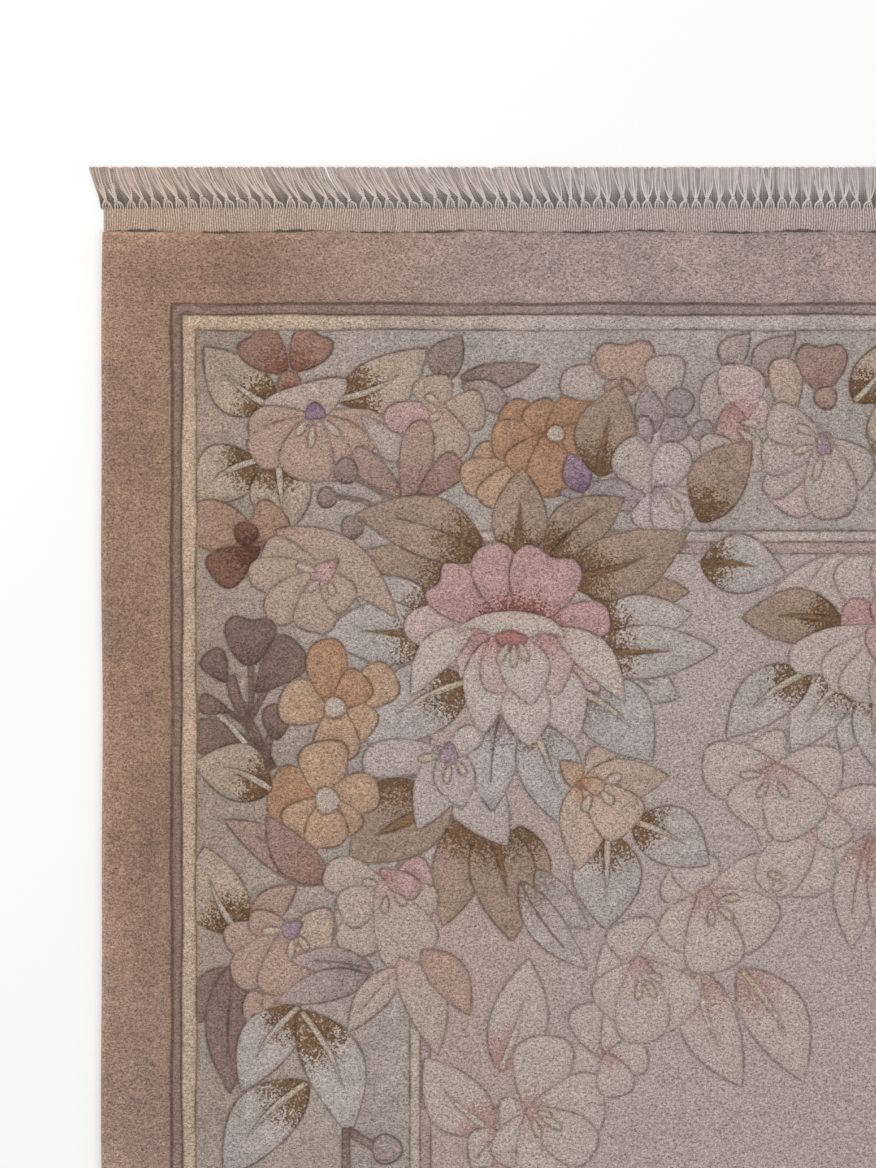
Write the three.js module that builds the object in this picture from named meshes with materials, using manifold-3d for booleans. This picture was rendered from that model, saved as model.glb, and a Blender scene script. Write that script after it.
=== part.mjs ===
// A hand-knotted silk rug that lies flat: a carved pile on a woven foundation, a flatwoven strip at each end,
// and a row of knotted warp fringe beyond each strip. Millimetres, +Z up, the rug's length along Y, and the
// origin on the floor under its centre.
import * as THREE from "three";
import { mergeVertices } from "three/addons/utils/BufferGeometryUtils.js";
import Module from "manifold-3d";

const wasm = await Module();
wasm.setup();

// The pile's face, and the strips beyond its ends.
const PILE_WIDTH = 1600;
const PILE_LENGTH = 2400;
const FLATWEAVE_LENGTH = 23;
const FLATWEAVE_THICKNESS = 2.5;
const FLATWEAVE_UNDER_PILE = 12;
const THICKNESS = 11;
const SIDE_STEP = 80;
const END_STEP = 40;
const SIDE_SWAY = 2;
const END_SWAY = 3;
const SIDE_WAVE = 610;
const END_WAVE = 170;
const SECOND_WAVE_RATE = 2.3;

// The pile's rounded edge, from the floor up: how far each ring of the outline lies in from the widest one.
const EDGE_LEVELS = [
  { inset: 2, z: 0 },
  { inset: 0, z: 3 },
  { inset: 2, z: 8 },
  { inset: 7, z: THICKNESS },
];

// The grooves that are carved into the face.
const GROOVE_WIDTH = 3;
const GROOVE_DEPTH = 2.2;
const CUT_LIFT = 1;
const SHARPEST_MITRE = 2.4;

// The border's lines, in from the pile's long side and from its end. The inner ones run between the corners.
const BORDER_LINES = [
  { fromSide: 72, fromEnd: 74, inner: false },
  { fromSide: 82, fromEnd: 85, inner: false },
  { fromSide: 96, fromEnd: 100, inner: false },
  { fromSide: 310, fromEnd: 301, inner: true },
  { fromSide: 320, fromEnd: 312, inner: true },
  { fromSide: 331, fromEnd: 324, inner: true },
];
const INNER_LINE_HALF_ACROSS = 122;
const INNER_LINE_HALF_ALONG = 380;

// The larger flowers of one quarter: place in from the side and the end, radius, petals, and turn in degrees.
const FLOWERS = [
  { side: 415, end: 410, radius: 96, petals: 7, turn: 10 },
  { side: 420, end: 415, radius: 46, petals: 5, turn: 40 },
  { side: 350, end: 550, radius: 48, petals: 5, turn: 15 },
  { side: 210, end: 198, radius: 36, petals: 5, turn: 0 },
  { side: 208, end: 360, radius: 44, petals: 5, turn: 30 },
  { side: 227, end: 510, radius: 38, petals: 4, turn: 20 },
  { side: 185, end: 705, radius: 42, petals: 5, turn: 60 },
  { side: 335, end: 182, radius: 44, petals: 5, turn: 20 },
  { side: 640, end: 175, radius: 42, petals: 5, turn: 50 },
  { side: 698, end: 238, radius: 48, petals: 5, turn: 25 },
];
const POINTS_PER_PETAL = 3;
const PETAL_NOTCH = 0.26;

// The larger leaves of one quarter, from stalk to tip, in from the side and the end.
const LEAVES = [
  { side: 330, end: 352, tipSide: 255, tipEnd: 290, width: 40 },
  { side: 420, end: 305, tipSide: 405, tipEnd: 232, width: 38 },
  { side: 492, end: 340, tipSide: 565, tipEnd: 278, width: 42 },
  { side: 518, end: 405, tipSide: 615, tipEnd: 405, width: 46 },
  { side: 478, end: 500, tipSide: 545, tipEnd: 590, width: 44 },
  { side: 398, end: 640, tipSide: 392, tipEnd: 735, width: 44 },
];
const POINTS_PER_LEAF_EDGE = 3;
const LEAF_FULLNESS = 0.8;

// The fringe: knotted locks of warp that leave a narrow strip, and splay to a trimmed line.
const FRINGE_GAP = 0.3;
const STRIP_WIDTH = 4;
const LOCKS_PER_END = 130;
const KNOT_REACH = 10;
const LOCK_REACH = 40;
const LOCK_FOOT_SHARE = 0.72;
const KNOT_SHARE = 0.34;
const TIP_SHARE = 0.72;
const STRIP_HEIGHT = 2.5;
const KNOT_HEIGHT = 4.8;
const TIP_HEIGHT = 1.8;
const MIDDLE_LEAN = 3;
const SIDE_LEAN = 19;
const CORNER_FLARE = 13;
const LEAN_RISE = [0.25, 0.6];
const FLARE_RISE = [0.86, 1];
const LEAN_SWAY = 0.7;
const REACH_SWAY = 0.5;
const LEAN_WAVE = 61;
const REACH_WAVE = 47;

const pileMaterial = new THREE.MeshStandardMaterial({ color: "#9d8b80", roughness: 0.8, metalness: 0 });
const fringeMaterial = new THREE.MeshStandardMaterial({ color: "#ac9d98", roughness: 0.85, metalness: 0 });

const halfWidth = PILE_WIDTH / 2;
const halfLength = PILE_LENGTH / 2;

// A slow unevenness between 0 and 1 along an edge, with its waves at unlike lengths.
function unevenness(along, waveLength, phase) {
  const turn = (2 * Math.PI * along) / waveLength + phase;
  return 0.5 + 0.3 * Math.sin(turn) + 0.2 * Math.sin(SECOND_WAVE_RATE * turn + phase);
}

// The geometry of a closed mesh, from its points and its triangles.
function meshGeometry(points, triangles) {
  const geometry = new THREE.BufferGeometry();
  geometry.setAttribute("position", new THREE.Float32BufferAttribute(points.flatMap((p) => p.toArray()), 3));
  geometry.setIndex(triangles.flat());
  return geometry;
}

// The body that booleans work on.
function solidOf(geometry) {
  const merged = mergeVertices(geometry, 1e-4);
  return new wasm.Manifold(
    new wasm.Mesh({
      numProp: 3,
      vertProperties: merged.attributes.position.array,
      triVerts: new Uint32Array(merged.index.array),
    }),
  );
}

function geometryOf(solid) {
  const { vertProperties, triVerts } = solid.getMesh();
  const geometry = new THREE.BufferGeometry();
  geometry.setAttribute("position", new THREE.Float32BufferAttribute(vertProperties, 3));
  geometry.setIndex([...triVerts]);
  geometry.computeVertexNormals();
  return geometry;
}

// A closed mesh between rings of one outline, each ring counterclockwise and the lowest first.
function stackedSlab(rings) {
  const count = rings[0].length;
  const points = rings.flat();
  const triangles = [];
  rings.slice(1).forEach((ring, level) => {
    for (let i = 0; i < count; i++) {
      const here = level * count + i;
      const next = level * count + ((i + 1) % count);
      triangles.push([here, next, next + count], [here, next + count, here + count]);
    }
  });
  const flat = (ring) => ring.map((p) => new THREE.Vector2(p.x, p.y));
  const top = (rings.length - 1) * count;
  for (const [a, b, c] of THREE.ShapeUtils.triangulateShape(flat(rings[0]), [])) triangles.push([c, b, a]);
  for (const [a, b, c] of THREE.ShapeUtils.triangulateShape(flat(rings.at(-1)), [])) {
    triangles.push([top + a, top + b, top + c]);
  }
  return meshGeometry(points, triangles);
}

// One ring of the pile's slightly uneven outline, moved in by the inset and set at its height.
function pileRing({ inset, z }) {
  const across = Math.round(PILE_WIDTH / END_STEP);
  const along = Math.round(PILE_LENGTH / SIDE_STEP);
  const marks = [];
  for (let i = 0; i < across; i++) marks.push([i / across, 0]);
  for (let i = 0; i < along; i++) marks.push([1, i / along]);
  for (let i = across; i > 0; i--) marks.push([i / across, 1]);
  for (let i = along; i > 0; i--) marks.push([0, i / along]);
  return marks.map(([s, t]) => {
    const x = (s - 0.5) * PILE_WIDTH;
    const y = (t - 0.5) * PILE_LENGTH;
    const sideIn = inset + SIDE_SWAY * unevenness(y, SIDE_WAVE, Math.sign(x));
    const endIn = inset + END_SWAY * unevenness(x, END_WAVE, 2 * Math.sign(y));
    const reachX = halfWidth - sideIn;
    const reachY = halfLength - endIn;
    return new THREE.Vector3(
      THREE.MathUtils.clamp(x, -reachX, reachX),
      THREE.MathUtils.clamp(y, -reachY, reachY),
      z,
    );
  });
}

// The flatwoven strip at one end, which starts under the pile. The end is 1 for +Y and -1 for -Y.
function flatweaveStrip(end) {
  const nearY = halfLength - FLATWEAVE_UNDER_PILE;
  const farY = halfLength + FLATWEAVE_LENGTH;
  const outline = [
    [-halfWidth + SIDE_SWAY, nearY],
    [halfWidth - SIDE_SWAY, nearY],
    [halfWidth, farY],
    [-halfWidth, farY],
  ];
  const ring = (z) => outline.map(([x, y]) => new THREE.Vector3(x * end, y * end, z));
  return stackedSlab([ring(0), ring(FLATWEAVE_THICKNESS)]);
}

// A point's sideways offset for a mitred line of the given half width, limited at sharp turns.
function mitre(before, here, after, half) {
  const into = here.clone().sub(before).normalize();
  const out = after.clone().sub(here).normalize();
  const along = into.clone().add(out).normalize();
  const edge = out.lengthSq() === 0 ? into : out;
  const side = new THREE.Vector2(-along.y, along.x);
  const share = Math.abs(along.dot(edge));
  return side.multiplyScalar(half * Math.min(1 / share, SHARPEST_MITRE));
}

// The V-shaped bar that a groove takes out of the face, closed round a motif or with two ends.
function grooveBar(line, closed) {
  const count = line.length;
  const half = (GROOVE_WIDTH / 2) * ((GROOVE_DEPTH + CUT_LIFT) / GROOVE_DEPTH);
  const points = line.flatMap((here, i) => {
    const before = closed ? line[(i + count - 1) % count] : line[Math.max(i - 1, 0)];
    const after = closed ? line[(i + 1) % count] : line[Math.min(i + 1, count - 1)];
    const side = mitre(before, here, after, half);
    return [
      new THREE.Vector3(here.x + side.x, here.y + side.y, THICKNESS + CUT_LIFT),
      new THREE.Vector3(here.x, here.y, THICKNESS - GROOVE_DEPTH),
      new THREE.Vector3(here.x - side.x, here.y - side.y, THICKNESS + CUT_LIFT),
    ];
  });
  const triangles = [];
  const spans = closed ? count : count - 1;
  for (let i = 0; i < spans; i++) {
    for (let corner = 0; corner < 3; corner++) {
      const a = 3 * i + corner;
      const b = 3 * i + ((corner + 1) % 3);
      const c = 3 * ((i + 1) % count) + ((corner + 1) % 3);
      const d = 3 * ((i + 1) % count) + corner;
      triangles.push([a, c, b], [a, d, c]);
    }
  }
  if (!closed) {
    const last = 3 * (count - 1);
    triangles.push([0, 1, 2], [last, last + 2, last + 1]);
  }
  return meshGeometry(points, triangles);
}

// A point of the quarter at -X and +Y, given by how far it lies in from the pile's side and from its end.
function fromEdges(side, end) {
  return new THREE.Vector2(-halfWidth + side, halfLength - end);
}

// A flower's outline of rounded petals with a notch between each two.
function flowerLine({ side, end, radius, petals, turn }) {
  const centre = fromEdges(side, end);
  const count = petals * POINTS_PER_PETAL;
  return Array.from({ length: count }, (_, i) => {
    const angle = (2 * Math.PI * i) / count;
    const bulge = Math.sqrt(Math.abs(Math.sin((petals * angle) / 2)));
    const reach = radius * (1 - PETAL_NOTCH + PETAL_NOTCH * bulge);
    const around = angle + THREE.MathUtils.degToRad(turn);
    return new THREE.Vector2(centre.x + reach * Math.cos(around), centre.y + reach * Math.sin(around));
  });
}

// A leaf's outline, pointed at both ends and widest near its stalk.
function leafLine({ side, end, tipSide, tipEnd, width }) {
  const stalk = fromEdges(side, end);
  const tip = fromEdges(tipSide, tipEnd);
  const along = tip.clone().sub(stalk);
  const across = new THREE.Vector2(-along.y, along.x).normalize();
  const at = (share, edge) => {
    const half = (width / 2) * Math.sin(Math.PI * Math.pow(share, LEAF_FULLNESS));
    return stalk.clone().addScaledVector(along, share).addScaledVector(across, edge * half);
  };
  const steps = Array.from({ length: POINTS_PER_LEAF_EDGE }, (_, i) => (i + 1) / (POINTS_PER_LEAF_EDGE + 1));
  const out = steps.map((share) => at(share, -1));
  const back = steps.reverse().map((share) => at(share, 1));
  return [stalk, ...out, tip, ...back];
}

// The same line in all four quarters of the rug.
function inEachQuarter(line) {
  const signs = [[1, 1], [-1, 1], [1, -1], [-1, -1]];
  return signs.map(([sx, sy]) => line.map((p) => new THREE.Vector2(p.x * sx, p.y * sy)));
}

// The border's lines: a frame where it shows all round, and four lengths where the corner flowers hide it.
function borderBars() {
  return BORDER_LINES.flatMap(({ fromSide, fromEnd, inner }) => {
    const x = halfWidth - fromSide;
    const y = halfLength - fromEnd;
    if (!inner) {
      const corners = [[-x, -y], [x, -y], [x, y], [-x, y]];
      return [grooveBar(corners.map(([cx, cy]) => new THREE.Vector2(cx, cy)), true)];
    }
    return [-1, 1].flatMap((sign) => [
      grooveBar([-1, 1].map((s) => new THREE.Vector2(s * INNER_LINE_HALF_ACROSS, sign * y)), false),
      grooveBar([-1, 1].map((s) => new THREE.Vector2(sign * x, s * INNER_LINE_HALF_ALONG)), false),
    ]);
  });
}

function rugBody() {
  const pile = solidOf(stackedSlab(EDGE_LEVELS.map(pileRing)));
  const withEnds = pile.add(solidOf(flatweaveStrip(1))).add(solidOf(flatweaveStrip(-1)));
  const motifLines = [...FLOWERS.map(flowerLine), ...LEAVES.map(leafLine)];
  const bars = [...borderBars(), ...motifLines.flatMap(inEachQuarter).map((line) => grooveBar(line, true))];
  const carved = bars.reduce((body, bar) => body.subtract(solidOf(bar)), withEnds);
  return new THREE.Mesh(geometryOf(carved), pileMaterial);
}

// How far a lock's tip lies to the side of its foot: outwards, most of all in the rug's outer half.
function leanAt(x) {
  const share = Math.min(Math.abs(x) / halfWidth, 1);
  const outwards = MIDDLE_LEAN * share + SIDE_LEAN * THREE.MathUtils.smoothstep(share, ...LEAN_RISE);
  const heldIn = (MIDDLE_LEAN + SIDE_LEAN - CORNER_FLARE) * THREE.MathUtils.smoothstep(share, ...FLARE_RISE);
  return Math.sign(x) * (outwards - heldIn);
}

// The fringe's height over the floor, by how far out it is from the strip's inner edge.
function fringeHeight(out) {
  if (out <= STRIP_WIDTH) return STRIP_HEIGHT;
  return out < LOCK_REACH / 2 ? KNOT_HEIGHT : TIP_HEIGHT;
}

// A comb of locks that leave one strip: each is wide at its foot, drawn in at its knot, splayed at its tip.
function fringe(phase) {
  const pitch = PILE_WIDTH / LOCKS_PER_END;
  const foot = (pitch * LOCK_FOOT_SHARE) / 2;
  const knot = (pitch * KNOT_SHARE) / 2;
  const tip = (pitch * TIP_SHARE) / 2;
  const front = [];
  const back = [];
  for (let i = 0; i < LOCKS_PER_END; i++) {
    const x = -halfWidth + (i + 0.5) * pitch;
    const outermost = i === 0 || i === LOCKS_PER_END - 1;
    const sway = outermost ? 0 : LEAN_SWAY * (2 * unevenness(x, LEAN_WAVE, phase) - 1);
    const tipX = x + leanAt(x) + sway;
    const knotX = x + sway / 2;
    const reach = LOCK_REACH - REACH_SWAY * unevenness(x, REACH_WAVE, phase);
    const knotAt = STRIP_WIDTH + KNOT_REACH - sway;
    front.push([x - foot, STRIP_WIDTH], [knotX - knot, knotAt], [tipX - tip, reach]);
    front.push([tipX + tip, reach], [knotX + knot, knotAt], [x + foot, STRIP_WIDTH]);
    if (i % 2 === 0) back.push([x, 0]);
  }
  const outline = [[-halfWidth, 0], ...back, [halfWidth, 0], [halfWidth, STRIP_WIDTH]];
  outline.push(...front.reverse(), [-halfWidth, STRIP_WIDTH]);
  const ring = (height) => outline.map(([x, out]) => new THREE.Vector3(x, out, height(out)));
  return stackedSlab([ring(() => 0), ring(fringeHeight)]);
}

const rug = new THREE.Group();

function addNode(name, mesh) {
  mesh.name = name;
  rug.add(mesh);
  return mesh;
}

addNode("rug_body", rugBody());
const fringeStart = halfLength + FLATWEAVE_LENGTH + FRINGE_GAP;
const farFringe = addNode("fringe_far", new THREE.Mesh(fringe(0.4), fringeMaterial));
farFringe.position.y = fringeStart;
const nearFringe = addNode("fringe_near", new THREE.Mesh(fringe(2.1), fringeMaterial));
nearFringe.position.y = -fringeStart;
nearFringe.rotation.z = Math.PI;

export default rug;
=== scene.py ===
# %% [markdown]
# A hand-knotted silk rug, seen from above at one corner. The weaver ties a pile of silk on a woven
# foundation, and a carver then runs shears along every line of the pattern, so that flowers, leaves and
# borders stand in low relief. This lesson builds the pile as one carved skin, the flatwoven ends as
# ribbed strips, and the fringe yarn by yarn. It starts from the solid model, which fixes every size and
# place.

# %% the solid model
import math

import bpy
import numpy as np
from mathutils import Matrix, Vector, geometry, kdtree


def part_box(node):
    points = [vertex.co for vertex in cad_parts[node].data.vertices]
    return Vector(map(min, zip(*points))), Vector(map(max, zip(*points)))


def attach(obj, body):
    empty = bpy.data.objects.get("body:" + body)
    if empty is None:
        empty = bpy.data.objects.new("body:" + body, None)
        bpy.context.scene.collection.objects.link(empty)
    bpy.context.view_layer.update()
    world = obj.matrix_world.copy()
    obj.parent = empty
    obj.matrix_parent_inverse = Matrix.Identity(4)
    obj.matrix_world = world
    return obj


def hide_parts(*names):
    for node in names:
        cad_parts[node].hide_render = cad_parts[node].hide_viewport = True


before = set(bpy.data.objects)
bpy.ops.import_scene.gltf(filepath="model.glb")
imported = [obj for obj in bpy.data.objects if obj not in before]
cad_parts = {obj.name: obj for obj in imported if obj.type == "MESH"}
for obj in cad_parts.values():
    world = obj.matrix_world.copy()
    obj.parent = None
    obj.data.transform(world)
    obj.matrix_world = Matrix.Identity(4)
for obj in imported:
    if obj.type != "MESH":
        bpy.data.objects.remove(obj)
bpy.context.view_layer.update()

MM = 0.001
body_low, body_high = (np.array(corner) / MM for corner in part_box("rug_body"))
fringe_low, fringe_high = (np.array(corner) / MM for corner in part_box("fringe_far"))
print("rug body in mm", body_low.round(1), body_high.round(1))

# %% sizes in millimetres, in the same frame as the solids
FLATWEAVE_LENGTH = 23
PILE_HALF_WIDTH = body_high[0]
PILE_HALF_LENGTH = body_high[1] - FLATWEAVE_LENGTH
PILE_TOP = body_high[2]
FRINGE_REACH = fringe_high[1]
print("pile", 2 * PILE_HALF_WIDTH, "x", 2 * PILE_HALF_LENGTH, "mm,", PILE_TOP, "mm thick")

# %% [markdown]
# One quarter of the pattern is drawn and then mirrored to the other three, as the weaver's own cartoon
# is. A place in the quarter is given as two distances in millimetres: how far it lies in from the long
# side, and how far in from the end. Silk dyes are kept as a pair: the colour of a petal's or leaf's tip,
# and the deeper colour at its foot. The last two numbers say how far up the petal the deep dye climbs and
# how softly it ends.

# %% dyes
def to_linear(hex_colour):
    """An sRGB hex colour as the linear numbers that Blender shades with."""
    parts = [int(hex_colour[i:i + 2], 16) / 255 for i in (1, 3, 5)]
    return [c / 12.92 if c <= 0.04045 else ((c + 0.055) / 1.055) ** 2.4 for c in parts]


DYES = {
    "cream leaf": ("#a39181", "#694e36", 0.47, 0.30),
    "grey leaf": ("#a89b95", "#6d523a", 0.42, 0.32),
    "bare leaf": ("#a69891", "#8d7b71", 0.40, 0.40),
    "white leaf": ("#aea29b", "#6d523a", 0.46, 0.30),
    "taupe leaf": ("#957f70", "#694f38", 0.42, 0.32),
    "brown leaf": ("#937e6e", "#694f38", 0.42, 0.45),
    "mauve leaf": ("#8b7870", "#775f57", 0.50, 0.60),
    "pale mauve": ("#9b8982", "#8c7770", 0.40, 0.50),
    "mauve pod": ("#776258", "#664f46", 0.55, 0.60),
    "dusty rose": ("#9c8277", "#8a6c61", 0.55, 0.60),
    "deep dusty": ("#90746a", "#846559", 0.60, 0.60),
    "rose": ("#ab8985", "#85504a", 0.42, 0.36),
    "rose fade": ("#b09a92", "#a57c78", 0.75, 0.45),
    "blush": ("#b19a94", "#a67f7a", 0.50, 0.45),
    "pink": ("#a98c86", "#a37a75", 0.50, 0.50),
    "shell": ("#a58b7e", "#9f8275", 0.45, 0.60),
    "cream": ("#ab998d", "#ac9288", 0.35, 0.45),
    "pale pink": ("#b0a199", "#b09087", 0.38, 0.45),
    "warm cream": ("#a59081", "#a5897a", 0.35, 0.45),
    "pearl": ("#a6968e", "#9f8b84", 0.35, 0.50),
    "blue grey": ("#a79c98", "#83726c", 0.36, 0.34),
    "lilac": ("#ab9b96", "#937d80", 0.38, 0.40),
    "orange": ("#a07b62", "#95664c", 0.45, 0.50),
    "pale orange": ("#a98c76", "#a17a5f", 0.40, 0.50),
    "peach": ("#ac9688", "#a77f69", 0.36, 0.45),
    "rust": ("#8d6c5f", "#795042", 0.60, 0.50),
    "pale rust": ("#947a71", "#8a6c63", 0.50, 0.60),
    "tan": ("#9a7d6c", "#87614e", 0.40, 0.50),
    "dark rust": ("#745144", "#5b3a2d", 0.70, 0.50),
    "tone": ("#af9e96", "#a48880", 0.42, 0.40),
    "tone leaf": ("#ae9d95", "#a1847b", 0.40, 0.30),
    "purple": ("#8d7581", "#775b72", 0.60, 0.50),
    "pale violet": ("#99838a", "#8d7781", 0.60, 0.50),
    "violet heart": ("#a9958a", "#8f7884", 0.26, 0.12),
    "hot peach": ("#a98e7c", "#a4775c", 0.60, 0.50),
    "wing": ("#b3a298", "#b09288", 0.20, 0.30),
    "dark mauve": ("#826c62", "#755e55", 0.50, 0.60),
    "rose throat": ("#9c6d68", "#8b5751", 0.60, 0.50),
    "lavender": ("#978885", "#87777a", 0.50, 0.60),
    "disc": ("#b09f91", "#a8958a", 0.30, 0.50),
    "pale rib": ("#b6a798", "#a8957f", 0.30, 0.50),
    "brown rib": ("#7d6148", "#70543d", 0.50, 0.50),
}
# A plain colour changes from its first hex, near the rug's long sides, to its second further in, between
# the two distances given. Towards the middle of the rug's length it also moves part of the way to the
# second.
PLAIN_DYES = {
    "band": ("#937665", "#a08d86", 150, 450),
    "mauve line": ("#8b7267", "#94827c", 150, 450),
    "cream line": ("#b49d88", "#ab9e96", 150, 450),
    "inner cream": ("#b19c8a", "#ad9e95", 150, 450),
    "inner mauve": ("#9a857c", "#9e8a83", 150, 450),
    "ground": ("#988578", "#a1948d", 100, 300),
    "field": ("#a69289", "#a89792", 331, 600),
}
PALE_FROM, PALE_TO, PALE_MOST = 600, 1100, 0.5
# How strong the painted shade in the carved grooves is: fainter for these dyes, wider for the band and
# mauve line. Faintly lined dyes also get less mottling.
FAINTLY_LINED = {"tone", "tone leaf", "field", "blush", "pearl", "lilac", "shell", "cream", "warm cream",
                 "pale pink", "wing", "pale rib", "brown rib", "disc"}
BOLDLY_LINED = {"band", "mauve line"}
FAINT, BOLD = 0.6, 4.0
print(len(DYES) + len(PLAIN_DYES), "dyes")

# %% [markdown]
# The pattern is a stack of cut-out patches, painted from the back to the front as a cartoon is. Each
# patch has an outline, its dyes, and a foot and a tip that say which way its shading runs. Creases are
# lines inside a patch, such as a leaf's midrib. Every shape below comes from a few sizes and a formula,
# so each flower is this lesson's own drawing and only its kind, place and colour belong to the rug.

# %% the stack of patches
patches = []
creases = []


def add_patch(outline, dye, foot, tip):
    patches.append({
        "outline": np.array(outline, float), "dye": dye,
        "foot": np.array(foot, float), "tip": np.array(tip, float),
    })


def add_crease(line):
    """A carved line in the patch that was painted last."""
    creases.append({"line": np.array(line, float), "over": len(patches)})


def across_of(foot, tip):
    axis = np.subtract(tip, foot)
    return np.array([-axis[1], axis[0]]) / np.linalg.norm(axis)


print("across a petal that points in from the end:", across_of((0, 0), (0, 9)))

# %% petals and leaves
POINT_SPACING = 4.5
WAVES = 3
EDGE_RIPPLE = 0.05
RIB_HALF = 3.1


def blade(foot, tip, width, form="round", bend=0.0):
    """The outline of a petal or a leaf: round, broad with a ruffled edge, notched, or pointed."""
    foot, axis = np.array(foot, float), np.subtract(tip, foot)
    steps = max(7, round(1.2 * (np.linalg.norm(axis) + 0.4 * width) / POINT_SPACING))
    turn = np.linspace(0, math.pi, steps + 1)
    along = (1 - np.cos(turn)) / 2
    if form == "pointed":
        along = turn / math.pi
        half = np.sin(math.pi * along ** 0.85) ** 0.85
    elif form == "broad":
        half = np.sin(turn) ** 0.8 * (0.3 + 0.78 * along)
    else:
        half = np.sin(turn) * (0.6 + 0.62 * along)
    if form == "notched":
        along = along - 0.16 * np.exp(-((turn - math.pi) / 0.42) ** 2)
    side = across_of(foot, foot + axis)
    outer = np.clip(2 * along - 0.5, 0, 1)
    halves = []
    for sign in (-1, 1):
        wave = np.cos(sign * WAVES * (math.pi - turn) + 1.9 * len(patches)) * outer
        ripple = EDGE_RIPPLE * wave if form == "broad" else 0 * wave
        spine = foot + np.outer(along * (1 + 0.5 * ripple), axis)
        spine += np.outer(bend * np.sin(math.pi * along), side)
        halves.append(spine + np.outer(sign * half * (1 + ripple) * width / 2, side))
    return np.vstack([halves[0], halves[1][-2:0:-1]])


print("a petal's outline has", len(blade((0, 0), (0, 60), 40)), "points")

# %% petals, leaves and the carved line or strip of a midrib


def petal(foot, tip, width, dye, form="round", bend=0.0):
    add_patch(blade(foot, tip, width, form, bend), dye, foot, tip)


def midline(foot, tip, start, end, bend, count=9):
    """Points along the spine of a leaf, from one share of its length to another."""
    along = np.linspace(start, end, count)
    side = across_of(foot, tip)
    bow = np.outer(bend * np.sin(math.pi * along), side)
    return np.array(foot, float) + np.outer(along, np.subtract(tip, foot)) + bow


def leaf(stalk, tip, width, dye, rib="line", bend=0.0):
    """A pointed leaf, with its midrib carved as one line or left standing as a narrow strip."""
    add_patch(blade(stalk, tip, width, "pointed", bend), dye, stalk, tip)
    if rib == "line":
        add_crease(midline(stalk, tip, 0.05, 0.7, bend))
    elif rib:
        spine = midline(stalk, tip, 0.02, 0.64, bend)
        half = RIB_HALF * np.sin(np.linspace(0.9, math.pi, len(spine)))
        side = np.outer(half, across_of(stalk, tip))
        add_patch(np.vstack([spine - side, (spine + side)[-2::-1]]), rib, spine[0], spine[-1])


def leaves(rows):
    for stalk, tip, width, bend, dye, rib in rows:
        leaf(stalk, tip, width, dye, rib, bend)


print("a 100 mm leaf's midrib ends at", midline((0, 0), (0, 100), 0.05, 0.7, 0)[-1])

# %% discs, stems and flowers
def disc(centre, radius, dye, squash=1.0, turn=0.0):
    count = max(12, round(2 * math.pi * radius / 3.6))
    angle = np.linspace(0, 2 * math.pi, count, endpoint=False)
    reach = radius * (1 + 0.05 * np.cos(3 * angle + len(patches)))
    local = np.column_stack([reach * np.cos(angle), reach * squash * np.sin(angle)])
    c, s = math.cos(math.radians(turn)), math.sin(math.radians(turn))
    outline = np.array(centre, float) + local @ np.array([[c, s], [-s, c]])
    add_patch(outline, dye, np.add(centre, (0, radius)), np.subtract(centre, (0, radius)))


def stem(line, width, dye):
    """A thin strip along a few points, rounded into a curve."""
    line = np.array(line, float)
    share = np.linspace(0, 1, len(line))
    fine = np.linspace(0, 1, 4 * len(line))
    curve = np.column_stack([np.interp(fine, share, line[:, k]) for k in (0, 1)])
    for _ in range(2):
        curve[1:-1] = (curve[:-2] + 2 * curve[1:-1] + curve[2:]) / 4
    step = np.gradient(curve, axis=0)
    side = np.column_stack([-step[:, 1], step[:, 0]]) / np.linalg.norm(step, axis=1)[:, None]
    half = side * (width / 2)
    add_patch(np.vstack([curve - half, (curve + half)[::-1]]), dye, curve[0], curve[-1])


def flower(centre, dye, petals, back=0.12):
    """Petals from one centre, given as (tip, width) or (tip, width, dye, form), the back one first."""
    for tip, width, *own in petals:
        foot = np.array(centre, float) - back * np.subtract(tip, centre)
        petal(foot, tip, width, own[0] if own else dye, own[1] if len(own) > 1 else "broad")


def stamens(centre, tips, width=8.5, dye="disc"):
    """Small pale anthers, each on the line from the centre to its own tip."""
    for tip in tips:
        away = np.subtract(tip, centre)
        petal(np.array(centre, float) + 0.35 * away, tip, width, dye)


print("nothing painted yet:", len(patches) == 0)

# %% [markdown]
# The ground comes first: the plain field in the middle, its two narrow guard lines, and the floral
# border's ground. The outer frame is painted last, over the ends of the leaves, because on the rug
# nothing crosses it.

# %% ground, guard lines and field
QUARTER = (PILE_HALF_WIDTH, PILE_HALF_LENGTH)
OVER = 50
FAR_SIDE, FAR_END = QUARTER[0] + OVER, QUARTER[1] + OVER


def inner_panel(from_side, from_end, dye):
    corners = [(from_side, from_end), (FAR_SIDE, from_end), (FAR_SIDE, FAR_END), (from_side, FAR_END)]
    add_patch(corners, dye, (0, 0), QUARTER)


inner_panel(-OVER, -OVER, "ground")
inner_panel(310, 301, "inner cream")
inner_panel(320, 312, "inner mauve")
inner_panel(331, 324, "field")
print("field starts", patches[-1]["outline"][0], "mm in")

# %% [markdown]
# The field's own flowers are almost the field's colour. Only their carved outlines and a little rose dye
# at the petals' feet make them show.

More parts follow.
